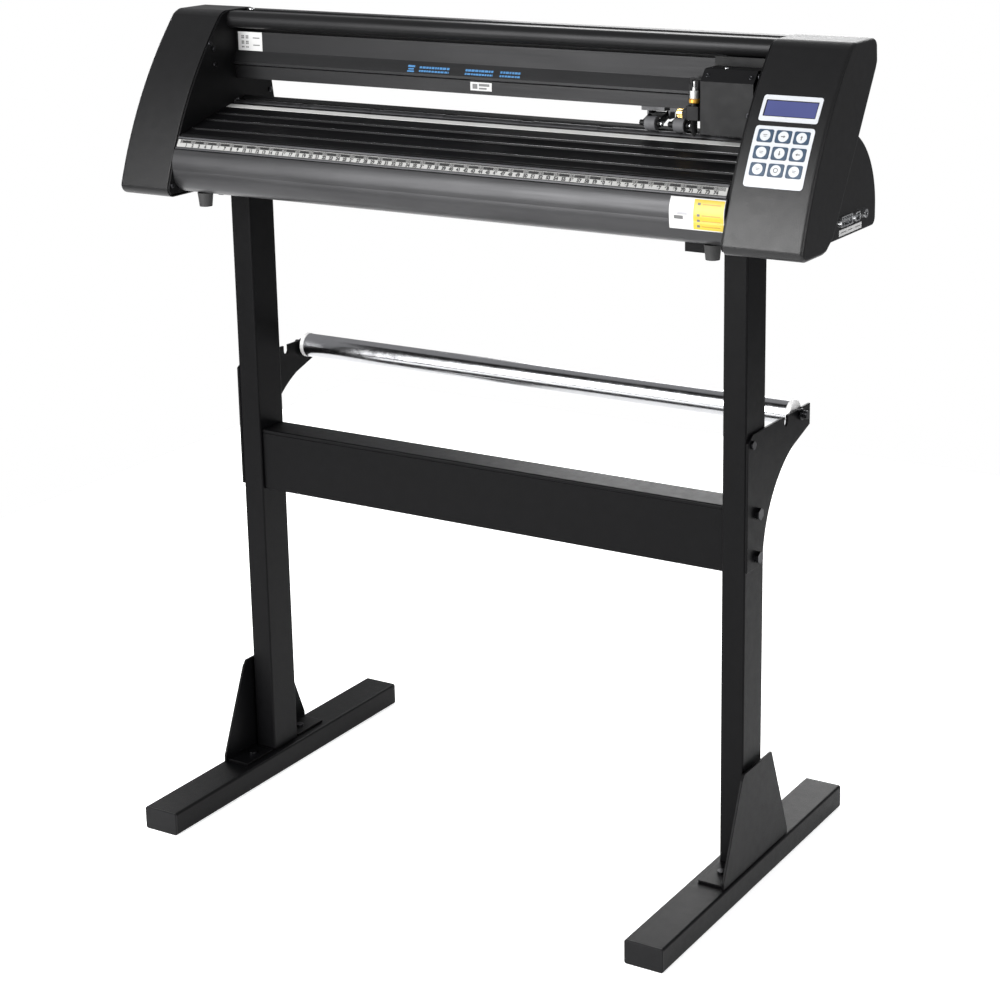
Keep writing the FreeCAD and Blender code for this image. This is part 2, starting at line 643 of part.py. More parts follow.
def front_panel():
    """Bullnose extrusion under the ruler."""
    wire = outline(
        (-87.0, TRAY_Z), (-93.0, TRAY_Z + 0.5), ((-109.5, 813.0), (-115.0, 832.0)),
        ((-114.6, 846.0), (-109.6, 857.0)), (-107.6, 857.0), (-99.0, 871.4), (-96.0, 871.4), (-96.0, 866.0),
        (-105.6, 853.5), ((-111.6, 838.0), (-111.8, 832.0)), ((-106.8, 815.4), (-91.5, 805.0)), (-87.0, 804.6))
    panel = along_x(wire, -INNER_HALF, INNER_HALF)
    for side in SIDES:
        web = outline((-108.0, 830.0), (-90.0, 812.0), (-90.0, 868.0), (-96.5, 862.0), (-107.0, 846.0))
        x0, x1 = sorted((side * (INNER_HALF - 4), side * INNER_HALF))
        panel = panel.fuse(along_x(web, x0, x1))
    return [panel.removeSplitter()]


def ruler_strip():
    wire = outline((-109.3, 857.6), (-108.8, 857.3), (-100.2, 871.6), (-100.7, 871.9))
    return [along_x(wire, -INNER_HALF + 1, INNER_HALF - 1)]


RIB_Y = (-76.0, -48.0, -27.0)


def platen_z(y):
    return PLATEN_FRONT_Z + (y - PLATEN_FRONT_Y) * PLATEN_SLOPE


def platen():
    """Sloping ribbed deck with a slot for the feed shaft and a seat for the cutting strip."""
    rear = 35.0
    thick = 2.5
    slot = (FEED_Y - FEED_R - 0.8, FEED_Y + FEED_R + 0.8)
    seat = (STRIP_FRONT_Y - 0.2, STRIP_FRONT_Y + STRIP_WIDTH + 0.2)
    steps = []
    for y in RIB_Y:
        steps += [(y - 1.6, platen_z(y - 1.6)), (y - 1.0, platen_z(y) + 1.4), (y + 1.0, platen_z(y) + 1.6),
                  (y + 1.6, platen_z(y + 1.6))]
    deck = outline(
        (PLATEN_FRONT_Y, PLATEN_FRONT_Z - 1.2), (PLATEN_FRONT_Y, PLATEN_FRONT_Z),
        (PLATEN_FRONT_Y + 2, PLATEN_FRONT_Z + 1.8), (PLATEN_FRONT_Y + 5, PLATEN_FRONT_Z + 1.8),
        (PLATEN_FRONT_Y + 6, platen_z(PLATEN_FRONT_Y + 6)), *steps,
        (seat[0], platen_z(seat[0])), (seat[0], platen_z(seat[0]) - 1.5), (seat[1], platen_z(seat[1]) - 1.5),
        (seat[1], platen_z(seat[1])), (slot[0], platen_z(slot[0])), (slot[0], platen_z(slot[0]) - 6),
        (-20.0, platen_z(-20.0) - 6), (-20.0, platen_z(-20.0) - thick),
        (-92.0, platen_z(-92.0) - thick), (-94.5, PLATEN_FRONT_Z - 1.2))
    shelf = outline(
        (slot[1], platen_z(slot[1]) - 3.5), (slot[1], platen_z(slot[1])), (rear, platen_z(rear)),
        (rear, platen_z(rear) - 3.5))
    solid = along_x(deck, -INNER_HALF, INNER_HALF)
    solid = solid.fuse(along_x(shelf, -INNER_HALF, INNER_HALF))
    for side in SIDES:
        x0, x1 = sorted((side * (INNER_HALF - 4), side * INNER_HALF))
        cheek = outline((2.0, platen_z(2.0) - 5), (2.0, platen_z(2.0) - 8), (6.0, 876.0), (32.0, 876.0),
                        (32.0, platen_z(32.0) - 2), (slot[0], platen_z(slot[0]) - 4))
        end_web = along_x(cheek, x0, x1).cut(rod_x(BEARING_R + 0.2, x0 - 1, x1 + 1, FEED_Y, FEED_Z))
        solid = solid.fuse(end_web)
    return [solid.removeSplitter()]


def cutting_strip():
    y0 = STRIP_FRONT_Y
    y1 = y0 + STRIP_WIDTH
    wire = outline((y0, platen_z(y0) - 1.4), (y1, platen_z(y1) - 1.4), (y1, platen_z(y1) + 0.3),
                   (y0, platen_z(y0) + 0.3))
    return [along_x(wire, -INNER_HALF + 0.5, INNER_HALF - 0.5)]


def gantry_beam():
    """Extruded beam: rounded nose on top, a slot under it for the carriage, and two hollow chambers."""
    wire = outline(
        (17.0, BEAM_UNDERSIDE), (17.0, 947.0), (13.0, 949.0), (13.0, 952.0), (20.0, 966.0), (20.0, 990.0),
        (22.5, 990.0), (22.5, 960.0), (42.0, 960.0), (42.0, 1010.0), (20.0, 1010.0), (20.0, 995.0),
        (12.0, 995.0), ((3.6, 1005.0), (12.0, 1015.5)), (24.0, 1015.5), (24.0, 1013.5), (44.0, 1013.5),
        (44.0, 1015.5), (58.0, 1015.5), (58.0, BEAM_UNDERSIDE))
    beam = along_x(wire, -INNER_HALF, INNER_HALF)
    lower = outline((20.5, 934.5), (54.5, 934.5), (54.5, 956.5), (20.5, 956.5))
    rear = outline((45.5, 960.5), (54.5, 960.5), (54.5, 1010.0), (45.5, 1010.0))
    for chamber in (lower, rear):
        beam = beam.cut(along_x(chamber, -INNER_HALF - 1, INNER_HALF + 1))
    return [beam]


RAIL_Y = 37.0
RAIL_Z = 1000.0
RAIL_R = 3.0


def carriage_rail():
    return [rod_x(RAIL_R, -INNER_HALF, INNER_HALF, RAIL_Y, RAIL_Z)]


def rubber_feet():
    feet = []
    front = Part.makeCone(8.0, 9.8, 17.0, Vector(353.0, -88.0, 785.0), Vector(0, 0, 1))
    front = front.fuse(rod_z(6.0, TRAY_Z - 1, TRAY_Z, 353.0, -88.0))
    feet.append(front.cut(box(330, 380, -110, -60, TRAY_Z, TRAY_Z + 5)))
    rear_top = COVER_BOTTOM + 2
    feet.append(Part.makeCone(8.0, 9.8, rear_top - 785.0, Vector(418.0, 84.0, 785.0), Vector(0, 0, 1)))
    solids = []
    for foot in feet:
        solids += both_sides(foot.removeSplitter())
    return solids


def cover_screws():
    """Round-head screws seen on the inner faces of the side plates."""
    solids = []
    for y, z in COVER_SCREWS + BEAM_SCREWS:
        shank = rod_x(1.45, INNER_HALF, INNER_HALF + SIDE_PLATE, y, z)
        head = rod_x(3.2, INNER_HALF - 1.8, INNER_HALF, y, z)
        head = head.makeFillet(1.2, [e for e in head.Edges if abs(e.CenterOfMass.x - INNER_HALF + 1.8) < 0.01])
        solids += both_sides(shank.fuse(head).removeSplitter())
    return solids


# ---------------------------------------------------------------- drives

PULLEY_X0 = COVER_INNER + 6.0
PULLEY_X1 = PULLEY_X0 + 8.0
MOTOR_X0 = PULLEY_X1 + 5.0
MOTOR_LENGTH = 38.0


def stepper(size, length, x, y, z, direction):
    """A square stepper motor with rounded edges and a front boss, its shaft pointing along direction."""
    body = rounded_block(-size / 2, size / 2, -size / 2, size / 2, -length, 0, 4.0, Vector(0, 0, 1))
    body = body.fuse(Part.makeCylinder(size * MOTOR_BOSS, 2.0))
    bore = Part.makeCylinder(2.6, length, Vector(0, 0, -length + 3))
    body = body.cut(bore).removeSplitter()
    body.Placement = FreeCAD.Placement(Vector(x, y, z), FreeCAD.Rotation(Vector(0, 0, 1), direction))
    return body


CARRIAGE_MOTOR_SIZE = 35.0
CARRIAGE_MOTOR_Y = 19.0


def stepper_motors():
    feed = stepper(MOTOR_SIZE, MOTOR_LENGTH, MOTOR_X0, MOTOR_Y, MOTOR_Z, Vector(-1, 0, 0))
    carriage = stepper(
        CARRIAGE_MOTOR_SIZE, 32.0, BELT_PULLEY_X, CARRIAGE_MOTOR_Y, BELT_Z, Vector(0, 1, 0))
    return [feed, carriage]


def toothed(radius, teeth, shape, axis_point, direction):
    """Cut shallow round tooth gaps along a pulley's rim."""
    side = Vector(0, 0, 1) if abs(direction.z) < 0.5 else Vector(1, 0, 0)
    gap = Part.makeCylinder(0.5, 40, axis_point + side * (radius + 0.1) - direction * 20, direction)
    for k in range(teeth):
        cut = gap.copy()
        cut.rotate(axis_point, direction, 360.0 * k / teeth)
        shape = shape.cut(cut)
    return shape


def motor_pulley():
    axis = Vector(0, MOTOR_Y, MOTOR_Z)
    rim = toothed(
        MOTOR_PULLEY_R, 16, rod_x(MOTOR_PULLEY_R, PULLEY_X0, PULLEY_X1, MOTOR_Y, MOTOR_Z),
        axis + Vector(PULLEY_X0, 0, 0), Vector(1, 0, 0))
    shaft = rod_x(2.5, PULLEY_X0 - 2, MOTOR_X0 + 20, MOTOR_Y, MOTOR_Z)
    flange = rod_x(MOTOR_PULLEY_R + 2.5, PULLEY_X0 - 1, PULLEY_X0, MOTOR_Y, MOTOR_Z)
    return [rim.fuse(shaft).fuse(flange).removeSplitter()]


def feed_pulley():
    rim = toothed(
        FEED_PULLEY_R, 32, rod_x(FEED_PULLEY_R, PULLEY_X0, PULLEY_X1, FEED_Y, FEED_Z),
        Vector(PULLEY_X0, FEED_Y, FEED_Z), Vector(1, 0, 0))
    rim = rim.cut(rod_x(5.0, PULLEY_X0 - 1, PULLEY_X1 + 1, FEED_Y, FEED_Z))
    return [rim]


def feed_belt():
    loop = belt(
        (FEED_Y, FEED_Z), FEED_PULLEY_R, (MOTOR_Y, MOTOR_Z), MOTOR_PULLEY_R,
        lambda y, z: Vector(PULLEY_X0 + 1, y, z))
    return [loop.extrude(Vector(6, 0, 0))]


GRIT_SECTIONS = 7


def feed_shaft():
    """Grit shaft: knurled bands on a slightly thinner shaft, with journals at both ends."""
    half = INNER_HALF - 5.0
    shaft = rod_x(FEED_R - 0.6, -half, half, FEED_Y, FEED_Z)
    pitch = 2 * half / GRIT_SECTIONS
    for k in range(GRIT_SECTIONS):
        centre = -half + (k + 0.5) * pitch
        shaft = shaft.fuse(rod_x(FEED_R, centre - pitch * 0.42, centre + pitch * 0.42, FEED_Y, FEED_Z))
    shaft = shaft.fuse(rod_x(5.0, half, PULLEY_X1, FEED_Y, FEED_Z))
    shaft = shaft.fuse(rod_x(5.0, -COVER_INNER - 6, -half, FEED_Y, FEED_Z))
    return [shaft.removeSplitter()]


def shaft_bearings():
    ring = rod_x(BEARING_R, INNER_HALF, INNER_HALF + SIDE_PLATE + 3, FEED_Y, FEED_Z)
    ring = ring.cut(rod_x(5.05, INNER_HALF - 3, INNER_HALF + 10, FEED_Y, FEED_Z))
    return both_sides(ring)


def belt_pulley(x):
    pulley = rod_y(BELT_PULLEY_R, BELT_Y - 4, BELT_Y + 4, x, BELT_Z)
    pulley = toothed(BELT_PULLEY_R, 16, pulley, Vector(x, BELT_Y, BELT_Z), Vector(0, 1, 0))
    return pulley.fuse(rod_y(BELT_PULLEY_R + 2.5, BELT_Y + 4, BELT_Y + 5, x, BELT_Z))


def drive_pulley():
    shaft = rod_y(BELT_SHAFT_R, CARRIAGE_MOTOR_Y - 24, BELT_Y + 4, BELT_PULLEY_X, BELT_Z)
    return [belt_pulley(BELT_PULLEY_X).fuse(shaft).removeSplitter()]


def idler_pulley():
    shaft = rod_y(BELT_SHAFT_R, BELT_Y - 10, BELT_Y + 12, -BELT_PULLEY_X, BELT_Z)
    return [belt_pulley(-BELT_PULLEY_X).fuse(shaft).removeSplitter()]


def carriage_belt():
    loop = belt(
        (-BELT_PULLEY_X, BELT_Z), BELT_PULLEY_R, (BELT_PULLEY_X, BELT_Z), BELT_PULLEY_R,
        lambda x, z: Vector(x, BELT_Y - 3, z))
    return [loop.extrude(Vector(0, 6, 0))]


# ---------------------------------------------------------------- carriage and tool

CARRIAGE_BOTTOM = 911.5
CHAMFER_Z = 970.5
CARRIAGE_TOP = 983.5
BACK_PLATE_Y = 8.0
COVER_REAR_Y = 7.0


def carriage_plate():
    """Back plate with its tongue through the slot, the rail bearing and the belt clamp."""
    left = TOOL_X - 10
    plate = box(CARRIAGE_LEFT - 2, CARRIAGE_RIGHT - 2, BACK_PLATE_Y, BACK_PLATE_Y + 3, 933.0, 994.0)
    plate = plate.fuse(box(left, CARRIAGE_LEFT, BACK_PLATE_Y, BACK_PLATE_Y + 3, 933.0, 968.0))
    tongue = box(CARRIAGE_LEFT + 8, CARRIAGE_RIGHT - 8, BACK_PLATE_Y + 3, 40.0, 991.0, 994.0)
    clamp = box(330.0, 350.0, BELT_Y - 4, BELT_Y + 4, BELT_Z + BELT_PULLEY_R + 2.6, 991.0)
    bearing = box(318.0, 364.0, RAIL_Y - 4.6, RAIL_Y + 4.4, 994.0, RAIL_Z + 5.0)
    bearing = bearing.cut(rod_x(RAIL_R + 0.05, 310.0, 370.0, RAIL_Y, RAIL_Z))
    solid = plate.fuse(tongue).fuse(clamp).fuse(bearing)
    for x0, x1 in ((left, left + 3), (TOOL_X + 7, TOOL_X + 10)):
        way = box(x0, x1, 4.0, BACK_PLATE_Y, 934.0, 962.0)
        solid = solid.fuse(way)
    floor = box(CARRIAGE_LEFT + 2, CARRIAGE_RIGHT - 2, -20.0, BACK_PLATE_Y, 933.0, 935.0)
    return [solid.fuse(floor).removeSplitter()]


def carriage_cover():
    """Five-sided box with a chamfered top edge; its back is closed by the back plate."""
    wire = outline(
        (COVER_FRONT_Y, CARRIAGE_BOTTOM), (COVER_REAR_Y - 5, CARRIAGE_BOTTOM), (COVER_REAR_Y - 5, 932.0),
        (COVER_REAR_Y, 932.0), (COVER_REAR_Y, CARRIAGE_TOP), (COVER_FRONT_Y + 12, CARRIAGE_TOP),
        (COVER_FRONT_Y, CHAMFER_Z))
    solid = along_x(wire, CARRIAGE_LEFT, CARRIAGE_RIGHT)
    hollow = outline(
        (COVER_FRONT_Y + 2, CARRIAGE_BOTTOM + 2), (COVER_REAR_Y - 7, CARRIAGE_BOTTOM + 2),
        (COVER_REAR_Y - 7, 932.0), (COVER_REAR_Y + 1, 932.0), (COVER_REAR_Y + 1, CARRIAGE_TOP - 2),
        (COVER_FRONT_Y + 12.8, CARRIAGE_TOP - 2), (COVER_FRONT_Y + 2, CHAMFER_Z - 0.8))
    shell = solid.cut(along_x(hollow, CARRIAGE_LEFT + 2, CARRIAGE_RIGHT - 2))
    for x, z in ((CARRIAGE_LEFT + 5.5, 922.0), (CARRIAGE_RIGHT - 5.5, 936.0)):
        boss = rod_y(2.6, COVER_FRONT_Y + 1.5, COVER_FRONT_Y + 12, x, z)
        shell = shell.fuse(boss)
    return [shell.removeSplitter()]


def solenoid():
    body = rounded_block(322.0, 350.0, -19.0, 4.0, 935.0, 967.0, 1.5, Vector(0, 0, 1))
    plunger = rod_z(4.0, 967.0, 976.0, 336.0, -8.0)
    return [body.fuse(plunger).removeSplitter()]


def tool_slide():
    """Vertical slider with the split clamp that grips the blade holder."""
    back = box(TOOL_X - 6.6, TOOL_X + 6.6, 3.2, 7.6, 921.0, 966.0)
    block = rounded_block(TOOL_X - 8.0, TOOL_X + 8.0, -6.4, 3.2, 922.0, 938.0, 1.2, Vector(0, 0, 1))
    ear = box(TOOL_X - 12.5, TOOL_X - 7.0, -6.0, 2.6, 924.0, 934.0)
    solid = back.fuse(block).fuse(ear).removeSplitter()
    solid = solid.cut(rod_z(HOLDER_BODY_R, 900.0, 990.0, TOOL_X, TOOL_HOLDER_Y))
    solid = solid.cut(rod_z(6.4, 938.0, 990.0, TOOL_X, TOOL_HOLDER_Y))
    return [solid.cut(rod_x(SCREW_R + 0.05, TOOL_X - 20, TOOL_X - 5, -1.6, 929.0))]


HOLDER_BODY_R = 4.6
TOOL_HOLDER_Y = -1.0
SCREW_R = 2.0


def clamp_screw():
    """Brass thumb screw that tightens the clamp."""
    head = rod_x(5.0, TOOL_X - 20.0, TOOL_X - 13.0, -1.6, 929.0)
    for k in range(12):
        groove = rod_x(0.6, TOOL_X - 21.0, TOOL_X - 12.0, 3.4, 929.0)
        groove.rotate(Vector(0, -1.6, 929.0), Vector(1, 0, 0), 30.0 * k)
        head = head.cut(groove)
    shank = rod_x(SCREW_R, TOOL_X - 13.0, TOOL_X - 5.5, -1.6, 929.0)
    return [head.fuse(shank).removeSplitter()]


def blade_holder():
    """Turned holder: nose, body, gold depth ring, knurled cap and ejector pin."""
    y = TOOL_HOLDER_Y
    sections = (
        (0.8, 1.2, 903.2, 905.2), (2.2, 3.6, 905.2, 909.0), (3.6, 3.6, 909.0, 921.5),
        (HOLDER_BODY_R, HOLDER_BODY_R, 921.5, 941.5), (6.0, 6.0, 941.5, 946.0), (5.0, 5.0, 946.0, 955.0),
        (2.2, 2.2, 955.0, 959.0), (1.2, 1.2, 959.0, 966.0))
    solid = None
    for low_r, high_r, z0, z1 in sections:
        if low_r == high_r:
            piece = rod_z(low_r, z0, z1, TOOL_X, y)
        else:
            piece = Part.makeCone(low_r, high_r, z1 - z0, Vector(TOOL_X, y, z0), Vector(0, 0, 1))
        solid = piece if solid is None else solid.fuse(piece)
    return [solid.removeSplitter()]


# ---------------------------------------------------------------- pinch rollers

CARRIER_HALF = 15.0
ARM_HALF = 11.0


def pinch_carrier(x):
    """Hanger that slides under the beam and hooks behind it, with two ears and the pivot pin."""
    block = box(x - CARRIER_HALF, x + CARRIER_HALF, 20.0, 60.4, 926.0, BEAM_UNDERSIDE - 0.4)
    hook = box(x - CARRIER_HALF, x + CARRIER_HALF, 58.4, 60.4, 930.0, 944.0)
    block = block.fuse(hook)
    for side in SIDES:
        x0, x1 = sorted((x + side * (CARRIER_HALF - 2.5), x + side * CARRIER_HALF))
        block = block.fuse(box(x0, x1, 34.0, 46.0, 915.0, 926.0))
    pin = rod_x(2.0, x - CARRIER_HALF, x + CARRIER_HALF, PINCH_PIVOT_Y, PINCH_PIVOT_Z)
    return [block.fuse(pin).removeSplitter()]


def pinch_arm(x):
    """Forked arm from the pivot to the roller's axle."""
    solid = None
    for side in SIDES:
        x0, x1 = sorted((x + side * (ARM_HALF - 2.5), x + side * ARM_HALF))
        cheek = rod_x(4.0, x0, x1, PINCH_PIVOT_Y, PINCH_PIVOT_Z)
        cheek = cheek.fuse(rod_x(4.2, x0, x1, FEED_Y, PINCH_Z))
        link = outline(
            (PINCH_PIVOT_Y - 1, PINCH_PIVOT_Z + 3.6), (FEED_Y - 1, PINCH_Z + 4.0), (FEED_Y + 1, PINCH_Z - 4.0),
            (PINCH_PIVOT_Y + 1, PINCH_PIVOT_Z - 3.6))
        cheek = cheek.fuse(along_x(link, x0, x1))
        solid = cheek if solid is None else solid.fuse(cheek)
    bridge = box(x - ARM_HALF, x + ARM_HALF, 30.2, 34.0, PINCH_PIVOT_Z - 4.0, PINCH_PIVOT_Z + 1.2)
    axle = rod_x(2.0, x - ARM_HALF - 4.0, x + ARM_HALF + 2.0, FEED_Y, PINCH_Z)
    knob = rod_x(3.4, x - ARM_HALF - 4.0, x - ARM_HALF, FEED_Y, PINCH_Z)
    solid = solid.fuse(bridge).fuse(axle).fuse(knob)
    bore = rod_x(2.05, x - 20, x + 20, PINCH_PIVOT_Y, PINCH_PIVOT_Z)
    return [solid.cut(bore).removeSplitter()]


def pinch_roller(x):
    roller = rod_x(PINCH_R, x - PINCH_WIDTH / 2, x + PINCH_WIDTH / 2, FEED_Y, PINCH_Z)
    ends = [edge for edge in roller.Edges if edge.Length > 2 * PINCH_R]
    roller = roller.makeFillet(1.0, [edge for edge in ends if isinstance(edge.Curve, Part.Circle)])
    return [roller.cut(rod_x(2.05, x - 20, x + 20, FEED_Y, PINCH_Z))]


# ---------------------------------------------------------------- electronics and operator panel

LCD_WIDTH = 62.0
LCD_HEIGHT = 20.0
LCD_ANGLE = face_angle(950.2)
BEZEL_WIDTH = 69.5
BEZEL_HEIGHT = 31.0
PAD_HEIGHT = 69.5
PAD_ANGLE = face_angle(932.5) - PAD_HEIGHT / 2 / FACE_RADIUS


def circuit_boards():
    """Controller board beside the right side plate and supply board beside the left one, on stand-offs."""
    x0 = COVER_INNER + 5.0
    main = box(x0, x0 + 1.6, -97.0, -20.0, 812.0, 862.0)
    for y, z in ((-91.0, 818.0), (-26.0, 818.0), (-91.0, 856.0), (-26.0, 856.0)):
        main = main.fuse(rod_x(2.5, COVER_INNER - COVER_GAP, x0, y, z))
    for y, z, dy, dz, high in ((-80.0, 838.0, 20.0, 20.0, 3.0), (-50.0, 822.0, 12.0, 8.0, 5.0),
                               (-44.0, 846.0, 14.0, 12.0, 9.0)):
        main = main.fuse(box(x0 + 1.6, x0 + 1.6 + high, y, y + dy, z, z + dz))
    supply = box(x0, x0 + 1.6, -93.0, -14.0, 812.0, 868.0)
    for y, z in ((-87.0, 818.0), (-20.0, 818.0), (-87.0, 862.0), (-20.0, 862.0)):
        supply = supply.fuse(rod_x(2.5, COVER_INNER - COVER_GAP, x0, y, z))
    supply = supply.fuse(box(x0 + 1.6, x0 + 28.0, -74.0, -44.0, 826.0, 856.0))
    supply = supply.fuse(rod_x(9.0, x0 + 1.6, x0 + 26.0, -30.0, 836.0))
    return [main.removeSplitter(), mirror_x(supply.removeSplitter())]


def display_module():
    """Character display: a board and a glass that fills the window of the right cover."""
    glass = face_patch(PANEL_X, LCD_ANGLE, LCD_WIDTH, LCD_HEIGHT, 0.8, -3.0, -0.2)
    board = face_patch(PANEL_X, LCD_ANGLE, LCD_WIDTH + 10, LCD_HEIGHT + 12, 1.0, -4.6, -3.0)
    return [glass.fuse(board).removeSplitter()]


def panel_overlay():
    """White bezel round the display and white pad with nine openings for the keys."""
    bezel = face_patch(PANEL_X, LCD_ANGLE, BEZEL_WIDTH, BEZEL_HEIGHT, 3.0, 0.0, OVERLAY)
    bezel = bezel.cut(face_patch(PANEL_X, LCD_ANGLE, LCD_WIDTH, LCD_HEIGHT, 1.0, -2, 3))
    pad = face_patch(PANEL_X, PAD_ANGLE, BEZEL_WIDTH, PAD_HEIGHT, 4.0, 0.0, OVERLAY)
    for row in range(KEY_ROWS):
        for column in range(KEY_COLUMNS):
            hole = face_patch(key_x(column), key_angle(row), KEY_WIDTH + 0.6, KEY_HEIGHT + 0.6, 2.2, -2, 3)
            pad = pad.cut(hole)
    return [bezel, pad]


def key(row, column):
    """A flat key that sinks by its travel without reaching the cover."""
    low = KEY_TRAVEL + 0.15
    return [face_patch(key_x(column), key_angle(row), KEY_WIDTH, KEY_HEIGHT, 2.0, low, OVERLAY + 0.5)]


# ---------------------------------------------------------------- export

def export(name, solids):
    shape = solids[0] if len(solids) == 1 else Part.makeCompound(solids)
    shape = shape.copy()
    shape.translate(Vector(CENTRE_X, 0, 0))
    assert shape.isValid(), name
    shape.exportStep("parts/%s.step" % name)


def main():
    os.makedirs("parts", exist_ok=True)
    makers = (
        foot_tubes, foot_end_caps, posts, gussets, crossbeam, roller_brackets, stand_bolts,
        roller_tube, roller_end_caps, roller_axles,
        left_end_cover, right_end_cover, left_rear_housing, right_rear_housing, port_connectors, power_switch,
        base_tray, front_panel, ruler_strip, platen, cutting_strip, gantry_beam, carriage_rail, rubber_feet,
        cover_screws, stepper_motors, motor_pulley, feed_pulley, feed_belt, feed_shaft, shaft_bearings,
        drive_pulley, idler_pulley, carriage_belt, carriage_plate, carriage_cover, solenoid, tool_slide,
        clamp_screw, blade_holder, circuit_boards, display_module, panel_overlay)
    for maker in makers:
        export(maker.__name__, maker())
    for side, name in zip(SIDES, ("left", "right")):
        x = PINCH_X[0] if side < 0 else PINCH_X[1]
        export(name + "_side_plate", side_plate(side))
        export(name + "_pinch_carrier", pinch_carrier(x))
        export(name + "_pinch_arm", pinch_arm(x))
        export(name + "_pinch_roller", pinch_roller(x))
    for row in range(KEY_ROWS):
        for column in range(KEY_COLUMNS):
            export("key_%d" % (KEY_COLUMNS * row + column + 1), key(row, column))


main()
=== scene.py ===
import math
import random

import bmesh
import bpy
from mathutils import Matrix, Vector


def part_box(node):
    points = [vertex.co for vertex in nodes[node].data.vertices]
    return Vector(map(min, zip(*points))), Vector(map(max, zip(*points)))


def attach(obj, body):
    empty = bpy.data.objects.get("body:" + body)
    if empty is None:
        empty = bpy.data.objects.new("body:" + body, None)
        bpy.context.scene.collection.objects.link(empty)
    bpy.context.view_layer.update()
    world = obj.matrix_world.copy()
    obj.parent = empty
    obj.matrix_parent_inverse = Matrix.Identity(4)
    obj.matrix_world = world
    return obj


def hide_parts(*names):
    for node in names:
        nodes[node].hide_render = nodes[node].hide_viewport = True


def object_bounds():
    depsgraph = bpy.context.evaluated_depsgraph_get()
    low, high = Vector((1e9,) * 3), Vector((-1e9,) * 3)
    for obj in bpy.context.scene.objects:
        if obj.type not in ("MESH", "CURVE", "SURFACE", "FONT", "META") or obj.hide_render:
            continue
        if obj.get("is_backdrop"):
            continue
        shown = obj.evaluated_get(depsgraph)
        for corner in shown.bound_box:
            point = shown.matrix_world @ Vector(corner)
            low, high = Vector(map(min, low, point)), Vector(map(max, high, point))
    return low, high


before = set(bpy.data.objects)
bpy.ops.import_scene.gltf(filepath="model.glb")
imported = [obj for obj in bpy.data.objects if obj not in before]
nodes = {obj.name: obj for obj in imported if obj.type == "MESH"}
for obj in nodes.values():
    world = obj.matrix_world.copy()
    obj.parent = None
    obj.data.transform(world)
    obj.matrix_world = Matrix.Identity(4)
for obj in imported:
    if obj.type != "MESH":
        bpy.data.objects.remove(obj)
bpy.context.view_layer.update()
MM = 0.001

# the stand's middle and the display's middle, along X
foot_low, foot_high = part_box("foot_tubes")
MID_X = (foot_low.x + foot_high.x) / 2
lcd_low, lcd_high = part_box("display_module")
PANEL_X = (lcd_low.x + lcd_high.x) / 2

# radius and centre line of the operator's curved face
FACE_R = 0.5425
FACE_Y = 0.3915
FACE_Z = 0.6437


# ---------------------------------------------------------------- materials

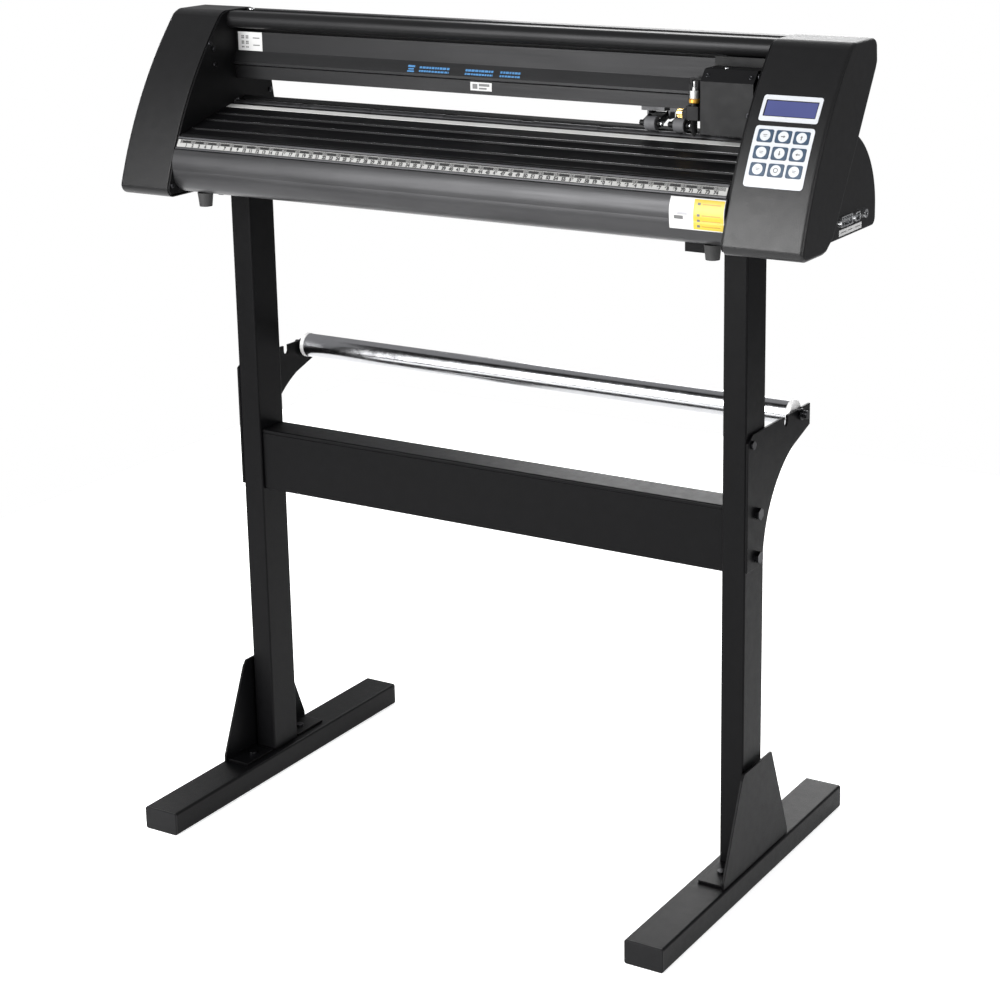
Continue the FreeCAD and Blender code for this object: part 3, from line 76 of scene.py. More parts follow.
class Mat:
    """A small helper round one procedural material."""

    def __init__(self, name, base, rough, metal=0.0):
        self.m = bpy.data.materials.new(name)
        self.m.use_nodes = True
        self.t = self.m.node_tree
        self.b = self.t.nodes["Principled BSDF"]
        self.b.inputs["Base Color"].default_value = (*base, 1)
        self.b.inputs["Roughness"].default_value = rough
        self.b.inputs["Metallic"].default_value = metal
        self.base = base
        self.coord = self.t.nodes.new("ShaderNodeTexCoord")
        self.last_normal = None

    def put(self, name, value):
        self.b.inputs[name].default_value = value

    def mapping(self, scale):
        """Object coordinates, scaled; a small value along an axis draws the pattern out along it."""
        n = self.t.nodes.new("ShaderNodeMapping")
        n.inputs["Scale"].default_value = scale
        self.t.links.new(self.coord.outputs["Object"], n.inputs["Vector"])
        return n.outputs["Vector"]

    def noise(self, scale, detail=3.0, rough=0.5, stretch=(1, 1, 1)):
        n = self.t.nodes.new("ShaderNodeTexNoise")
        n.inputs["Scale"].default_value = scale
        n.inputs["Detail"].default_value = detail
        n.inputs["Roughness"].default_value = rough
        self.t.links.new(self.mapping(stretch), n.inputs["Vector"])
        return n.outputs["Fac"]

    def voronoi(self, scale):
        n = self.t.nodes.new("ShaderNodeTexVoronoi")
        n.inputs["Scale"].default_value = scale
        self.t.links.new(self.mapping((1, 1, 1)), n.inputs["Vector"])
        return n.outputs["Distance"]

    def ramp(self, fac, stops):
        """A colour that runs through (position, colour) stops as fac goes from 0 to 1."""
        n = self.t.nodes.new("ShaderNodeValToRGB")
        ramp = n.color_ramp
        while len(ramp.elements) < len(stops):
            ramp.elements.new(0.5)
        for element, (at, colour) in zip(ramp.elements, stops):
            element.position = at
            element.color = (*colour, 1)
        self.t.links.new(fac, n.inputs["Fac"])
        return n.outputs["Color"]

    def span(self, fac, low, high, a=0.3, b=0.7):
        """Turn fac between a and b into a value between low and high."""
        n = self.t.nodes.new("ShaderNodeMapRange")
        n.inputs["From Min"].default_value = a
        n.inputs["From Max"].default_value = b
        n.inputs["To Min"].default_value = low
        n.inputs["To Max"].default_value = high
        self.t.links.new(fac, n.inputs["Value"])
        return n.outputs["Result"]

    def colour(self, fac, spread):
        """Mottle the base colour: darker and lighter by spread."""
        dark = tuple(c * (1 - spread) for c in self.base)
        light = tuple(min(1.0, c * (1 + spread)) for c in self.base)
        self.link(self.ramp(fac, [(0.3, dark), (0.7, light)]), "Base Color")

    def link(self, out, socket):
        self.t.links.new(out, self.b.inputs[socket])

    def roughness(self, fac, low, high):
        self.link(self.span(fac, low, high), "Roughness")

    def edges(self, radius):
        """Round the edges in the shading only."""
        n = self.t.nodes.new("ShaderNodeBevel")
        n.samples = 4
        n.inputs["Radius"].default_value = radius
        self.last_normal = n.outputs["Normal"]
        self.link(self.last_normal, "Normal")

    def bump(self, fac, strength, distance=0.0002):
        n = self.t.nodes.new("ShaderNodeBump")
        n.inputs["Strength"].default_value = strength
        n.inputs["Distance"].default_value = distance
        self.t.links.new(fac, n.inputs["Height"])
        if self.last_normal is not None:
            self.t.links.new(self.last_normal, n.inputs["Normal"])
        self.last_normal = n.outputs["Normal"]
        self.link(self.last_normal, "Normal")


def powder(name, base, rough, grain, edge=0.0007):
    """Fine-textured powder coat: pebbled bump, slight mottling and edges rounded in the shading."""
    m = Mat(name, base, rough)
    m.edges(edge)
    m.bump(m.voronoi(grain), 0.42, 0.00012)
    m.bump(m.noise(grain * 0.45, 2.0), 0.28, 0.00014)
    m.roughness(m.noise(90.0, 4.0, 0.6), rough - 0.025, rough + 0.035)
    m.colour(m.noise(60.0, 5.0, 0.65), 0.14)
    return m


def anodised(name, base, rough, metal=0.35):
    """Anodised aluminium extrusion: faint die lines along X."""
    m = Mat(name, base, rough, metal)
    m.edges(0.0004)
    m.bump(m.noise(420.0, 2.0, 0.6, (0.012, 1, 1)), 0.10, 0.00006)
    m.bump(m.noise(1600.0, 1.0), 0.08, 0.00005)
    m.roughness(m.noise(300.0, 3.0, 0.6, (0.02, 1, 1)), rough - 0.05, rough + 0.06)
    m.colour(m.noise(26.0, 4.0, 0.6, (0.3, 1, 1)), 0.14)
    return m


def plastic(name, base, rough, grain=900.0, spread=0.06, edge=0.0004):
    """Moulded plastic, rubber, paper or ink: fine grain and slight mottling."""
    m = Mat(name, base, rough)
    m.edges(edge)
    m.bump(m.noise(grain, 3.0), 0.10, 0.00006)
    m.roughness(m.noise(70.0, 4.0, 0.6), rough - 0.05, rough + 0.06)
    m.colour(m.noise(45.0, 3.0), spread)
    return m


def metal(name, base, rough, scratch=(1, 40, 40), spread=0.06):
    """Bare metal with fine machining lines along one axis."""
    m = Mat(name, base, rough, 1.0)
    m.edges(0.0003)
    m.bump(m.noise(300.0, 3.0, 0.6, scratch), 0.06, 0.00003)
    m.roughness(m.noise(90.0, 5.0, 0.7), rough * 0.75, rough * 1.35)
    m.colour(m.noise(30.0, 4.0), spread)
    return m


STAND = powder("stand_powder_coat", (0.0022, 0.0022, 0.0025), 0.40, 1500.0, 0.0014)
COVER = powder("cover_powder_coat", (0.0028, 0.0028, 0.0031), 0.37, 1150.0, 0.0022)
PLATE = powder("inner_plate_coat", (0.0028, 0.0028, 0.0031), 0.44, 1500.0, 0.0005)
BULLNOSE = anodised("anodised_bullnose", (0.045, 0.045, 0.0465), 0.36, 0.6)
DECK = anodised("anodised_deck", (0.0045, 0.0045, 0.0050), 0.44, 0.1)
BEAM = anodised("anodised_beam", (0.016, 0.016, 0.0166), 0.36, 0.45)
CHROME = metal("chrome_tube", (0.43, 0.433, 0.445), 0.19, (1, 60, 60), 0.04)
STEEL = metal("turned_steel", (0.55, 0.56, 0.58), 0.26)
DARK_STEEL = metal("black_oxide_steel", (0.035, 0.035, 0.038), 0.34)
HANGER = metal("hanger_steel", (0.030, 0.030, 0.031), 0.32)
ZINC = metal("zinc_shell", (0.68, 0.69, 0.70), 0.24)

# the connectors are one node: black plastic on the machine's left half, zinc shells on its right
CONNECTOR = metal("connector_shells", (0.68, 0.69, 0.70), 0.26)
INLET_BLACK = (0.012, 0.012, 0.012)
across = CONNECTOR.t.nodes.new("ShaderNodeSeparateXYZ")
CONNECTOR.t.links.new(CONNECTOR.coord.outputs["Object"], across.inputs["Vector"])
metal_side = CONNECTOR.span(across.outputs["X"], 0.0, 1.0, -0.01, 0.01)
CONNECTOR.link(metal_side, "Metallic")
CONNECTOR.link(CONNECTOR.ramp(metal_side, [(0.0, INLET_BLACK), (1.0, CONNECTOR.base)]), "Base Color")

BRASS = metal("turned_brass", (0.72, 0.50, 0.20), 0.24)
GOLD = metal("gold_ring", (0.80, 0.42, 0.06), 0.40)
GOLD.put("Metallic", 0.55)
CAP = metal("holder_cap", (0.80, 0.80, 0.79), 0.42)
CAP.put("Metallic", 0.45)
GRIT = metal("grit_shaft", (0.13, 0.13, 0.135), 0.42)
GRIT.bump(GRIT.noise(2600.0, 2.0), 0.8, 0.00015)
WHITE = plastic("white_plastic", (0.80, 0.80, 0.79), 0.34)
BLACK = plastic("black_plastic", (0.008, 0.008, 0.0085), 0.40)
SATIN = plastic("carriage_satin_black", (0.006, 0.006, 0.0065), 0.42, 900.0, 0.06, 0.0010)
CAPS = plastic("foot_cap_plastic", (0.0055, 0.0055, 0.0060), 0.46, 1400.0, 0.12)
RUBBER = plastic("black_rubber", (0.018, 0.018, 0.018), 0.70, 1300.0, 0.12)
GREY_RUBBER = plastic("pinch_rubber", (0.10, 0.10, 0.105), 0.66, 1800.0, 0.12)
BELT = plastic("belt_rubber", (0.016, 0.016, 0.017), 0.58, 1200.0)
STRIP = plastic("cutting_strip_white", (0.60, 0.60, 0.585), 0.42, 1300.0, 0.05)
TAPE = plastic("ruler_tape", (0.34, 0.34, 0.33), 0.36, 1500.0, 0.05, 0.00005)
INK = plastic("scale_ink", (0.012, 0.012, 0.012), 0.45, 1500.0, 0.2, 0.00001)
OVERLAY = plastic("overlay_polyester", (0.52, 0.535, 0.56), 0.30, 2600.0, 0.03, 0.0002)
KEY_BLUE = plastic("key_print_blue", (0.024, 0.050, 0.088), 0.34, 2400.0, 0.08, 0.0002)
KEY_WHITE = plastic("key_print_white", (0.52, 0.535, 0.55), 0.32, 2400.0, 0.03, 0.0001)
PRINT_BLUE = plastic("beam_print_blue", (0.03, 0.16, 0.36), 0.40, 1500.0, 0.12, 0.00001)
YELLOW = plastic("label_yellow", (0.47, 0.355, 0.018), 0.36, 1800.0, 0.05, 0.00001)
LABEL = plastic("label_white", (0.50, 0.50, 0.495), 0.36, 1800.0, 0.04, 0.00001)
LABEL_GREY = plastic("label_print_grey", (0.10, 0.10, 0.10), 0.42, 1800.0, 0.12, 0.00001)
AMBER = plastic("label_amber", (0.38, 0.22, 0.015), 0.38, 1800.0, 0.05, 0.00001)
GREY = plastic("label_mid_grey", (0.30, 0.30, 0.31), 0.4, 1800.0, 0.05, 0.00001)
BOARD = plastic("circuit_board", (0.02, 0.11, 0.05), 0.35, 700.0, 0.2)
# light grey metal for the painted highlight lines along the deck's ribs
PAINTED_RIB_HIGHLIGHT = anodised("painted_rib_highlight", (0.30, 0.30, 0.31), 0.30, 1.0)
LIP = anodised("ruler_channel_lip", (0.13, 0.13, 0.135), 0.32, 0.9)
MOTOR = metal("motor_laminations", (0.10, 0.10, 0.11), 0.40, (40, 1, 40))

for look, level in ((STAND, 0.07), (COVER, 0.34), (PLATE, 0.14), (BULLNOSE, 0.14), (DECK, 0.12),
                    (BEAM, 0.14), (BLACK, 0.25), (SATIN, 0.13), (CAPS, 0.12)):
    look.put("Specular IOR Level", level)

DISPLAY = Mat("display_glass", (0.022, 0.024, 0.065), 0.16)
DISPLAY.bump(DISPLAY.noise(500.0, 2.0), 0.02, 0.00002)
DISPLAY.colour(DISPLAY.noise(22.0, 2.0), 0.12)
DISPLAY.put("Coat Weight", 0.3)
DISPLAY.put("Coat Roughness", 0.08)
DISPLAY.put("Emission Color", (0.16, 0.20, 0.58, 1))
DISPLAY.put("Emission Strength", 0.33)

NODE_LOOK = {
    "foot_tubes": STAND, "posts": STAND, "gussets": STAND, "crossbeam": STAND, "roller_brackets": STAND,
    "foot_end_caps": CAPS, "stand_bolts": DARK_STEEL, "roller_tube": CHROME, "roller_end_caps": WHITE,
    "roller_axles": DARK_STEEL, "left_end_cover": COVER, "right_end_cover": COVER,
    "left_rear_housing": COVER, "right_rear_housing": COVER, "left_side_plate": PLATE,
    "right_side_plate": PLATE, "port_connectors": CONNECTOR, "power_switch": BLACK, "base_tray": STAND,
    "front_panel": BULLNOSE, "ruler_strip": DECK, "platen": DECK, "cutting_strip": STRIP,
    "gantry_beam": BEAM, "carriage_rail": STEEL, "rubber_feet": RUBBER, "cover_screws": DARK_STEEL,
    "stepper_motors": MOTOR, "motor_pulley": STEEL, "feed_pulley": STEEL, "feed_belt": BELT,
    "feed_shaft": GRIT, "shaft_bearings": STEEL, "drive_pulley": STEEL, "idler_pulley": STEEL,
    "carriage_belt": BELT, "carriage_plate": PLATE, "carriage_cover": SATIN, "solenoid": STEEL,
    "tool_slide": SATIN, "clamp_screw": BRASS, "blade_holder": BLACK, "circuit_boards": BOARD,
    "display_module": DISPLAY, "panel_overlay": OVERLAY,
}
for side in ("left", "right"):
    NODE_LOOK[side + "_pinch_carrier"] = HANGER
    NODE_LOOK[side + "_pinch_arm"] = SATIN
    NODE_LOOK[side + "_pinch_roller"] = GREY_RUBBER
for k in range(1, 10):
    NODE_LOOK["key_%d" % k] = KEY_BLUE

for name, obj in nodes.items():
    look = NODE_LOOK[name].m
    if obj.material_slots:
        for s in obj.material_slots:
            s.material = look
    else:
        obj.data.materials.append(look)


# ---------------------------------------------------------------- pieces

def piece(name, bm, look, body):
    """Make a mesh object that rides a body; look is one material or a list of them."""
    mesh = bpy.data.meshes.new(name)
    bm.to_mesh(mesh)
    bm.free()
    obj = bpy.data.objects.new(name, mesh)
    bpy.context.scene.collection.objects.link(obj)
    for m in look if isinstance(look, (list, tuple)) else [look]:
        mesh.materials.append(m.m)
    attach(obj, body)
    return obj


def polygon(bm, points):
    """One flat face."""
    bm.faces.new([bm.verts.new(p) for p in points])


def circle(r, steps):
    return [(r * math.cos(2 * math.pi * k / steps), r * math.sin(2 * math.pi * k / steps))
            for k in range(steps)]


def rect(u0, u1, v0, v1):
    return [(u0, v0), (u1, v0), (u1, v1), (u0, v1)]


def slab(bm, points, place, low, high, material=0):
    """A thin solid over flat points; place(u, v, w) gives the position at height w."""
    bottom = [bm.verts.new(place(u, v, low)) for u, v in points]
    top = [bm.verts.new(place(u, v, high)) for u, v in points]
    n = len(points)
    faces = [bm.faces.new((bottom[k], bottom[(k + 1) % n], top[(k + 1) % n], top[k])) for k in range(n)]
    faces += [bm.faces.new(top), bm.faces.new(list(reversed(bottom)))]
    for face in faces:
        face.material_index = material


def face_angle(z):
    return math.asin((z - FACE_Z) / FACE_R)


def on_face(x, angle):
    """Placement on the curved operator face: u along X, v up the face, w off it."""
    def place(u, v, w):
        a = angle + v / FACE_R
        r = FACE_R + w
        return Vector((x + u, FACE_Y - r * math.cos(a), FACE_Z + r * math.sin(a)))
    return place


def lathe(bm, profile, origin, axis, steps, material=0):
    """Turn (along, radius) pairs round an axis through origin; a radius of 0 closes an end."""
    axis = Vector(axis).normalized()
    side = axis.orthogonal().normalized()
    other = axis.cross(side)
    rings = []
    for along, radius in profile:
        centre = Vector(origin) + axis * along
        if radius < 1e-7:
            rings.append([bm.verts.new(centre)])
        else:
            rings.append([bm.verts.new(centre + side * (radius * math.cos(2 * math.pi * k / steps))
                                       + other * (radius * math.sin(2 * math.pi * k / steps)))
                          for k in range(steps)])
    for a, b in zip(rings, rings[1:]):
        for k in range(steps):
            n = (k + 1) % steps
            if len(a) == 1 and len(b) == 1:
                continue
            if len(a) == 1:
                f = bm.faces.new((a[0], b[k], b[n]))
            elif len(b) == 1:
                f = bm.faces.new((a[k], b[0], a[n]))
            else:
                f = bm.faces.new((a[k], b[k], b[n], a[n]))
            f.material_index = material
            f.smooth = True
    return rings


# the low and high side of printed layers, off the surface they lie on
TAPE_SHEET = (0.00001, 0.00012)
LIP_SHEET = (0.00001, 0.00045)
BEAM_INK = (0.00002, 0.00010)
STICKER = (0.00002, 0.00014)
SMALL_STICKER = (0.00002, 0.00012)
PRINT = (0.00010, 0.00018)
NOSE_STICKER = (0.00003, 0.00014)
NOSE_PRINT = (0.00014, 0.00022)
NOSE_STRIPE = (0.00022, 0.00026)
NOSE_SQUARE = (0.00022, 0.00030)
NOSE_LINE = (0.00022, 0.00028)


# ---- printed centres of the nine keys

LCD_Z = 0.9502
TOP_KEYS_Z = 0.9227
KEY_X = 0.0213
KEY_S = 0.0191 / FACE_R
KEY_FACE_LOW, KEY_FACE_HIGH = 0.00128, 0.00142
MARK_LOW, MARK_HIGH = 0.00138, 0.00146
angle_lcd = face_angle(LCD_Z)
key_top = face_angle(TOP_KEYS_Z)


def arrow(direction, size):
    """A plain arrow, as flat points, that points up, down, left or right."""
    shape = [(0, 1.0), (0.62, 0.1), (0.22, 0.1), (0.22, -1.0), (-0.22, -1.0), (-0.22, 0.1), (-0.62, 0.1)]
    turn = {"up": 0, "left": 90, "down": 180, "right": 270}[direction]
    c, s = math.cos(math.radians(turn)), math.sin(math.radians(turn))
    return [((x * c - y * s) * size, (x * s + y * c) * size) for x, y in shape]


KEY_MARKS = ("bars", "right", "up", "bars", "down", "left", "bars", "ring", "bars")
for k, mark in enumerate(KEY_MARKS, 1):
    row, column = divmod(k - 1, 3)
    place = on_face(PANEL_X + (column - 1) * KEY_X, key_top - row * KEY_S)
    bm = bmesh.new()
    slab(bm, circle(0.0060, 40), place, KEY_FACE_LOW, KEY_FACE_HIGH, 0)
    if mark == "bars":
        for v, w in ((0.0009, 0.0048), (-0.0009, 0.0034)):
            slab(bm, rect(-w / 2, w / 2, v - 0.00035, v + 0.00035), place, MARK_LOW, MARK_HIGH, 1)
    elif mark == "ring":
        outer, inner = circle(0.0028, 24), circle(0.0019, 24)
        for i in range(24):
            j = (i + 1) % 24
            slab(bm, [outer[i], outer[j], inner[j], inner[i]], place, MARK_LOW, MARK_HIGH, 1)
    else:
        slab(bm, arrow(mark, 0.0027), place, MARK_LOW, MARK_HIGH, 1)
    piece("key_%d_mark" % k, bm, [KEY_WHITE, LABEL_GREY], "key_%d" % k)

# ---- dark line between the bezel and the display's glass
bm = bmesh.new()
place = on_face(PANEL_X, angle_lcd)
SURROUND_W, SURROUND_H, SURROUND_LINE = 0.0619, 0.0199, 0.0009
w, h = SURROUND_W / 2, SURROUND_H / 2
in_w, in_h = w - SURROUND_LINE, h - SURROUND_LINE
for u0, u1, v0, v1 in ((-w, w, in_h, h), (-w, w, -h, -in_h),
                       (-w, -in_w, -in_h, in_h), (in_w, w, -in_h, in_h)):
    slab(bm, rect(u0, u1, v0, v1), place, -0.00018, 0.00030)
piece("display_surround", bm, BLACK, "frame")

# ---- ruler: printed tape between two lips, millimetre ticks and plain numbers
tape_low, tape_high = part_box("ruler_strip")
TAPE_A = Vector((0, -0.1093, 0.8576))
TAPE_B = Vector((0, -0.1007, 0.8719))
up_tape = (TAPE_B - TAPE_A).normalized()
tape_normal = Vector((0, -up_tape.z, up_tape.y))
TAPE_WIDTH = (TAPE_B - TAPE_A).length


def on_tape(u, v, w):
    """Placement on the ruler: u from its left end, v up its slope, w off it."""
    p = TAPE_A + up_tape * v + tape_normal * w
    return Vector((tape_low.x + u, p.y, p.z))


tape_length = tape_high.x - tape_low.x
CELL = 0.010
SCALE_START = 0.005
TICK_TOP = 0.0128
bm = bmesh.new()
slab(bm, rect(0.0008, tape_length - 0.0008, 0.0034, 0.0132), on_tape, *TAPE_SHEET)
piece("ruler_tape", bm, TAPE, "frame")
bm = bmesh.new()
for v0, v1 in ((0.0006, 0.0026), (TAPE_WIDTH - 0.0024, TAPE_WIDTH - 0.0002)):
    slab(bm, rect(0.0, tape_length, v0, v1), on_tape, *LIP_SHEET)
piece("ruler_channel_lips", bm, LIP, "frame")
bm = bmesh.new()
count = int((tape_length - 0.008) / MM)
for k in range(count):
    u = SCALE_START + k * MM
    if k % 10 == 0:
        high, wide = 0.0048, 0.00075
    elif k % 5 == 0:
        high, wide = 0.0042, 0.00062
    else:
        high, wide = 0.0042, 0.00060
    slab(bm, rect(u, u + wide, TICK_TOP - high, TICK_TOP), on_tape, *PRINT)
for k in range(count // 20):
    # a heavy bar along the ticks marks each two centimetres
    u = SCALE_START + k * 2 * CELL
    slab(bm, rect(u + 0.0030, u + 0.0165, 0.0090, 0.0118), on_tape, *PRINT)
piece("ruler_marks", bm, INK, "frame")

digits = []
for k in range(1, count // 10):
    curve = bpy.data.curves.new("ruler_number", "FONT")
    curve.body = str(k)
    curve.size = 0.0056
    curve.align_x = "CENTER"
    curve.extrude = 0.00004
    curve.offset = 0.00034
    obj = bpy.data.objects.new("ruler_number", curve)
    bpy.context.scene.collection.objects.link(obj)
    basis = Matrix((Vector((1, 0, 0)), up_tape, tape_normal)).transposed().to_4x4()
    basis.translation = on_tape(SCALE_START + k * CELL + 0.0002, 0.0041, 0.00014)
    obj.matrix_world = basis
    digits.append(obj)
bpy.context.view_layer.update()
bm = bmesh.new()
for obj in digits:
    mesh = bpy.data.meshes.new_from_object(obj.evaluated_get(bpy.context.evaluated_depsgraph_get()))
    mesh.transform(obj.matrix_world)
    bm.from_mesh(mesh)
    curve = obj.data
    bpy.data.objects.remove(obj)
    bpy.data.curves.remove(curve)
piece("ruler_numbers", bm, INK, "frame")

# ---- painted highlights: light grey lines along the deck's ribs stand in for the light their edges catch
deck_low, deck_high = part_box("platen")


DECK_FRONT_Y, DECK_FRONT_Z, DECK_SLOPE = -0.097, 0.873, 25.0 / 97.0
RIB_HIGHLIGHT_LOW, RIB_HIGHLIGHT_HIGH = 0.00145, 0.00165


def deck_z(y):
    return DECK_FRONT_Z + (y - DECK_FRONT_Y) * DECK_SLOPE


bm = bmesh.new()
for y, half in ((-0.076, 0.0006), (-0.048, 0.0008), (-0.027, 0.0007)):
    a = Vector((0, y - 0.0010, deck_z(y) + RIB_HIGHLIGHT_LOW))
    b = Vector((0, y + 0.0010, deck_z(y) + RIB_HIGHLIGHT_HIGH))
    middle = (a + b) / 2
    step = (b - a).normalized() * half
    corners = [middle - step, middle + step]
    x0, x1 = deck_low.x + 0.001, deck_high.x - 0.001
    lift = Vector((0, -0.1, 1.0)).normalized() * 0.00006
    low = [(x0, corners[0]), (x1, corners[0]), (x1, corners[1]), (x0, corners[1])]
    bottom = [bm.verts.new((x, c.y, c.z)) for x, c in low]
    top = [bm.verts.new((x, c.y + lift.y, c.z + lift.z)) for x, c in low]
    bm.faces.new(top)
    for k in range(4):
        bm.faces.new((bottom[k], bottom[(k + 1) % 4], top[(k + 1) % 4], top[k]))
bmesh.ops.recalc_face_normals(bm, faces=bm.faces)
piece("deck_rib_lines", bm, PAINTED_RIB_HIGHLIGHT, "frame")

# ---- generic printed marks on the beam and on the bullnose


def on_band(x, y0, z0, y1, z1):
    """Placement on a flat band that runs along X, from its lower edge to its upper edge."""
    a, b = Vector((0, y0, z0)), Vector((0, y1, z1))
    up = (b - a).normalized()
    normal = Vector((0, -up.z, up.y))

    def place(u, v, w):
        p = a + up * v + normal * w
        return Vector((x + u, p.y, p.z))
    return place


facet = on_band(MID_X - 0.114, 0.013, 0.952, 0.020, 0.966)
bm = bmesh.new()
slab(bm, rect(0.0, 0.010, 0.0075, 0.0100), facet, *BEAM_INK)
slab(bm, rect(0.001, 0.009, 0.0045, 0.0062), facet, *BEAM_INK)
slab(bm, rect(0.0, 0.010, 0.0015, 0.0032), facet, *BEAM_INK)
dashes = random.Random(11)
for start, end in ((0.017, 0.060), (0.083, 0.122), (0.132, 0.160)):
    for v, high in ((0.0066, 0.0026), (0.0022, 0.0022)):
        u = start
        while u < end:
            wide = dashes.uniform(0.0022, 0.0046)
            slab(bm, rect(u, min(end, u + wide), v, v + high), facet, *BEAM_INK)
            u += wide + dashes.uniform(0.0006, 0.0012)
piece("beam_print", bm, PRINT_BLUE, "frame")

band = on_band(MID_X - 0.376, 0.0200, 0.966, 0.0200, 0.990)
bm = bmesh.new()
slab(bm, rect(0, 0.038, 0.0, 0.0235), band, *STICKER)
DOT_PITCH, DOT = 0.0023, 0.0019
for i in range(7):
    for j in range(7):
        if (i * 5 + j * 3 + i * j) % 3:
            u, v = 0.003 + i * DOT_PITCH, 0.0035 + j * DOT_PITCH
            slab(bm, rect(u, u + DOT, v, v + DOT), band, *PRINT, 1)
for v in (0.0155, 0.0065):
    slab(bm, rect(0.0235, 0.034, v, v + 0.0014), band, *PRINT, 1)
piece("beam_sticker", bm, [LABEL, LABEL_GREY], "frame")

lower = on_band(MID_X - 0.025, 0.017, 0.933, 0.017, 0.947)
bm = bmesh.new()
slab(bm, rect(0, 0.030, 0.0025, 0.0125), lower, *SMALL_STICKER)
slab(bm, rect(0.003, 0.010, 0.0045, 0.0105), lower, *PRINT, 1)
slab(bm, rect(0.012, 0.027, 0.0078, 0.0110), lower, *PRINT, 1)
slab(bm, rect(0.012, 0.023, 0.0042, 0.0062), lower, *PRINT, 1)
piece("beam_small_label", bm, [LABEL, LABEL_GREY], "frame")


def circle_through(p, q, r):
    """Centre and radius of the circle through three points."""
    ax, ay, bx, by, cx, cy = *p, *q, *r
    d = 2 * (ax * (by - cy) + bx * (cy - ay) + cx * (ay - by))
    a2, b2, c2 = ax * ax + ay * ay, bx * bx + by * by, cx * cx + cy * cy
    ux = (a2 * (by - cy) + b2 * (cy - ay) + c2 * (ay - by)) / d
    uy = (a2 * (cx - bx) + b2 * (ax - cx) + c2 * (bx - ax)) / d
    return (ux, uy), math.hypot(ax - ux, ay - uy)


# the bullnose's front is two arcs that meet at NOSE_JOIN_Z
NOSE_JOIN_Z = 0.832
LABEL_BOTTOM_Z = 0.8215
lower_arc = circle_through((-0.093, 0.8025), (-0.1095, 0.813), (-0.115, NOSE_JOIN_Z))
upper_arc = circle_through((-0.115, NOSE_JOIN_Z), (-0.1146, 0.846), (-0.1096, 0.857))


def on_nose(x):
    """Placement on the bullnose: u along X, v straight up from the label's bottom, w off it."""
    def place(u, v, w):
        z = LABEL_BOTTOM_Z + v
        centre, radius = lower_arc if z < NOSE_JOIN_Z else upper_arc
        dy = -math.sqrt(max(0.0, radius ** 2 - (z - centre[1]) ** 2))
        n = Vector((0, dy, z - centre[1])).normalized()
        return Vector((x + u, centre[0] + dy + n.y * w, z + n.z * w))
    return place


def curved_sheet(bm, u0, u1, v0, v1, place, low, high, material=0, steps=14):
    """A thin label that follows a surface curved along v."""
    for k in range(steps):
        a = v0 + (v1 - v0) * k / steps
        b = v0 + (v1 - v0) * (k + 1) / steps
        slab(bm, rect(u0, u1, a, b), place, low, high, material)


nose = on_nose(MID_X + 0.3135)
bm = bmesh.new()
curved_sheet(bm, 0.0, 0.0665, 0.0, 0.0345, nose, *NOSE_STICKER, 0)
curved_sheet(bm, 0.0295, 0.0660, 0.0010, 0.0335, nose, *NOSE_PRINT, 1)
curved_sheet(bm, 0.0305, 0.0655, 0.0275, 0.0325, nose, *NOSE_STRIPE, 1, 4)
for v in (0.0285, 0.0165, 0.0105, 0.0045):
    curved_sheet(bm, 0.034, 0.034 + 0.0035, v - 0.001, v + 0.0016, nose, *NOSE_SQUARE, 2, 2)
    curved_sheet(bm, 0.040, 0.062, v - 0.0004, v + 0.0007, nose, *NOSE_LINE, 3, 2)
curved_sheet(bm, 0.006, 0.017, 0.011, 0.0150, nose, *NOSE_PRINT, 2, 3)
curved_sheet(bm, 0.010, 0.022, 0.016, 0.0190, nose, *NOSE_PRINT, 4, 3)
piece("bullnose_label", bm, [LABEL, YELLOW, LABEL_GREY, AMBER, GREY], "frame")

# ---- blade holder in three finishes, with the same outline as the CAD holder
tool_low, tool_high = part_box("blade_holder")
tx = (tool_low.x + tool_high.x) / 2
ty = (tool_low.y + tool_high.y) / 2
bm = bmesh.new()
lathe(bm, [(0.9032, 0.0), (0.9032, 0.0008), (0.9052, 0.0012), (0.9052, 0.0022), (0.9090, 0.0036),
           (0.9213, 0.0036), (0.9215, 0.00455), (0.9413, 0.00455)], (tx, ty, 0), (0, 0, 1), 32, 0)
lathe(bm, [(0.9413, 0.00455), (0.9415, 0.0059), (0.9425, 0.0060), (0.9448, 0.0060), (0.9460, 0.0058),
           (0.9460, 0.0048)], (tx, ty, 0), (0, 0, 1), 40, 1)
rings = lathe(bm, [(0.9460, 0.0044), (0.9465, 0.0050), (0.9545, 0.0050), (0.9550, 0.0046), (0.9550, 0.0022)],
              (tx, ty, 0), (0, 0, 1), 48, 2)
# knurling: each second point of the cap's rim is drawn in
KNURL = 0.93
for ring in rings[1:3]:
    for v in ring[1::2]:
        centre = Vector((tx, ty, v.co.z))
        v.co = centre + (v.co - centre) * KNURL
lathe(bm, [(0.9550, 0.0022), (0.9585, 0.0022), (0.9590, 0.0018), (0.9590, 0.0012), (0.9652, 0.0012),
           (0.9660, 0.0008), (0.9660, 0.0)], (tx, ty, 0), (0, 0, 1), 24, 2)
holder = piece("blade_holder_detail", bm, [BLACK, GOLD, CAP], "tool")
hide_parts("blade_holder")

# ---- screws of the carriage cover
SCREW_STEPS = 24
cover_low, cover_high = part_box("carriage_cover")
bm = bmesh.new()
lathe(bm, [(0.0, 0.0), (0.0, 0.0009), (-0.0004, 0.0010), (-0.0008, 0.0024), (-0.0004, 0.0029),
           (0.0004, 0.0029)],
      (cover_high.x - 0.0055, cover_low.y, 0.936), (0, 1, 0), SCREW_STEPS)
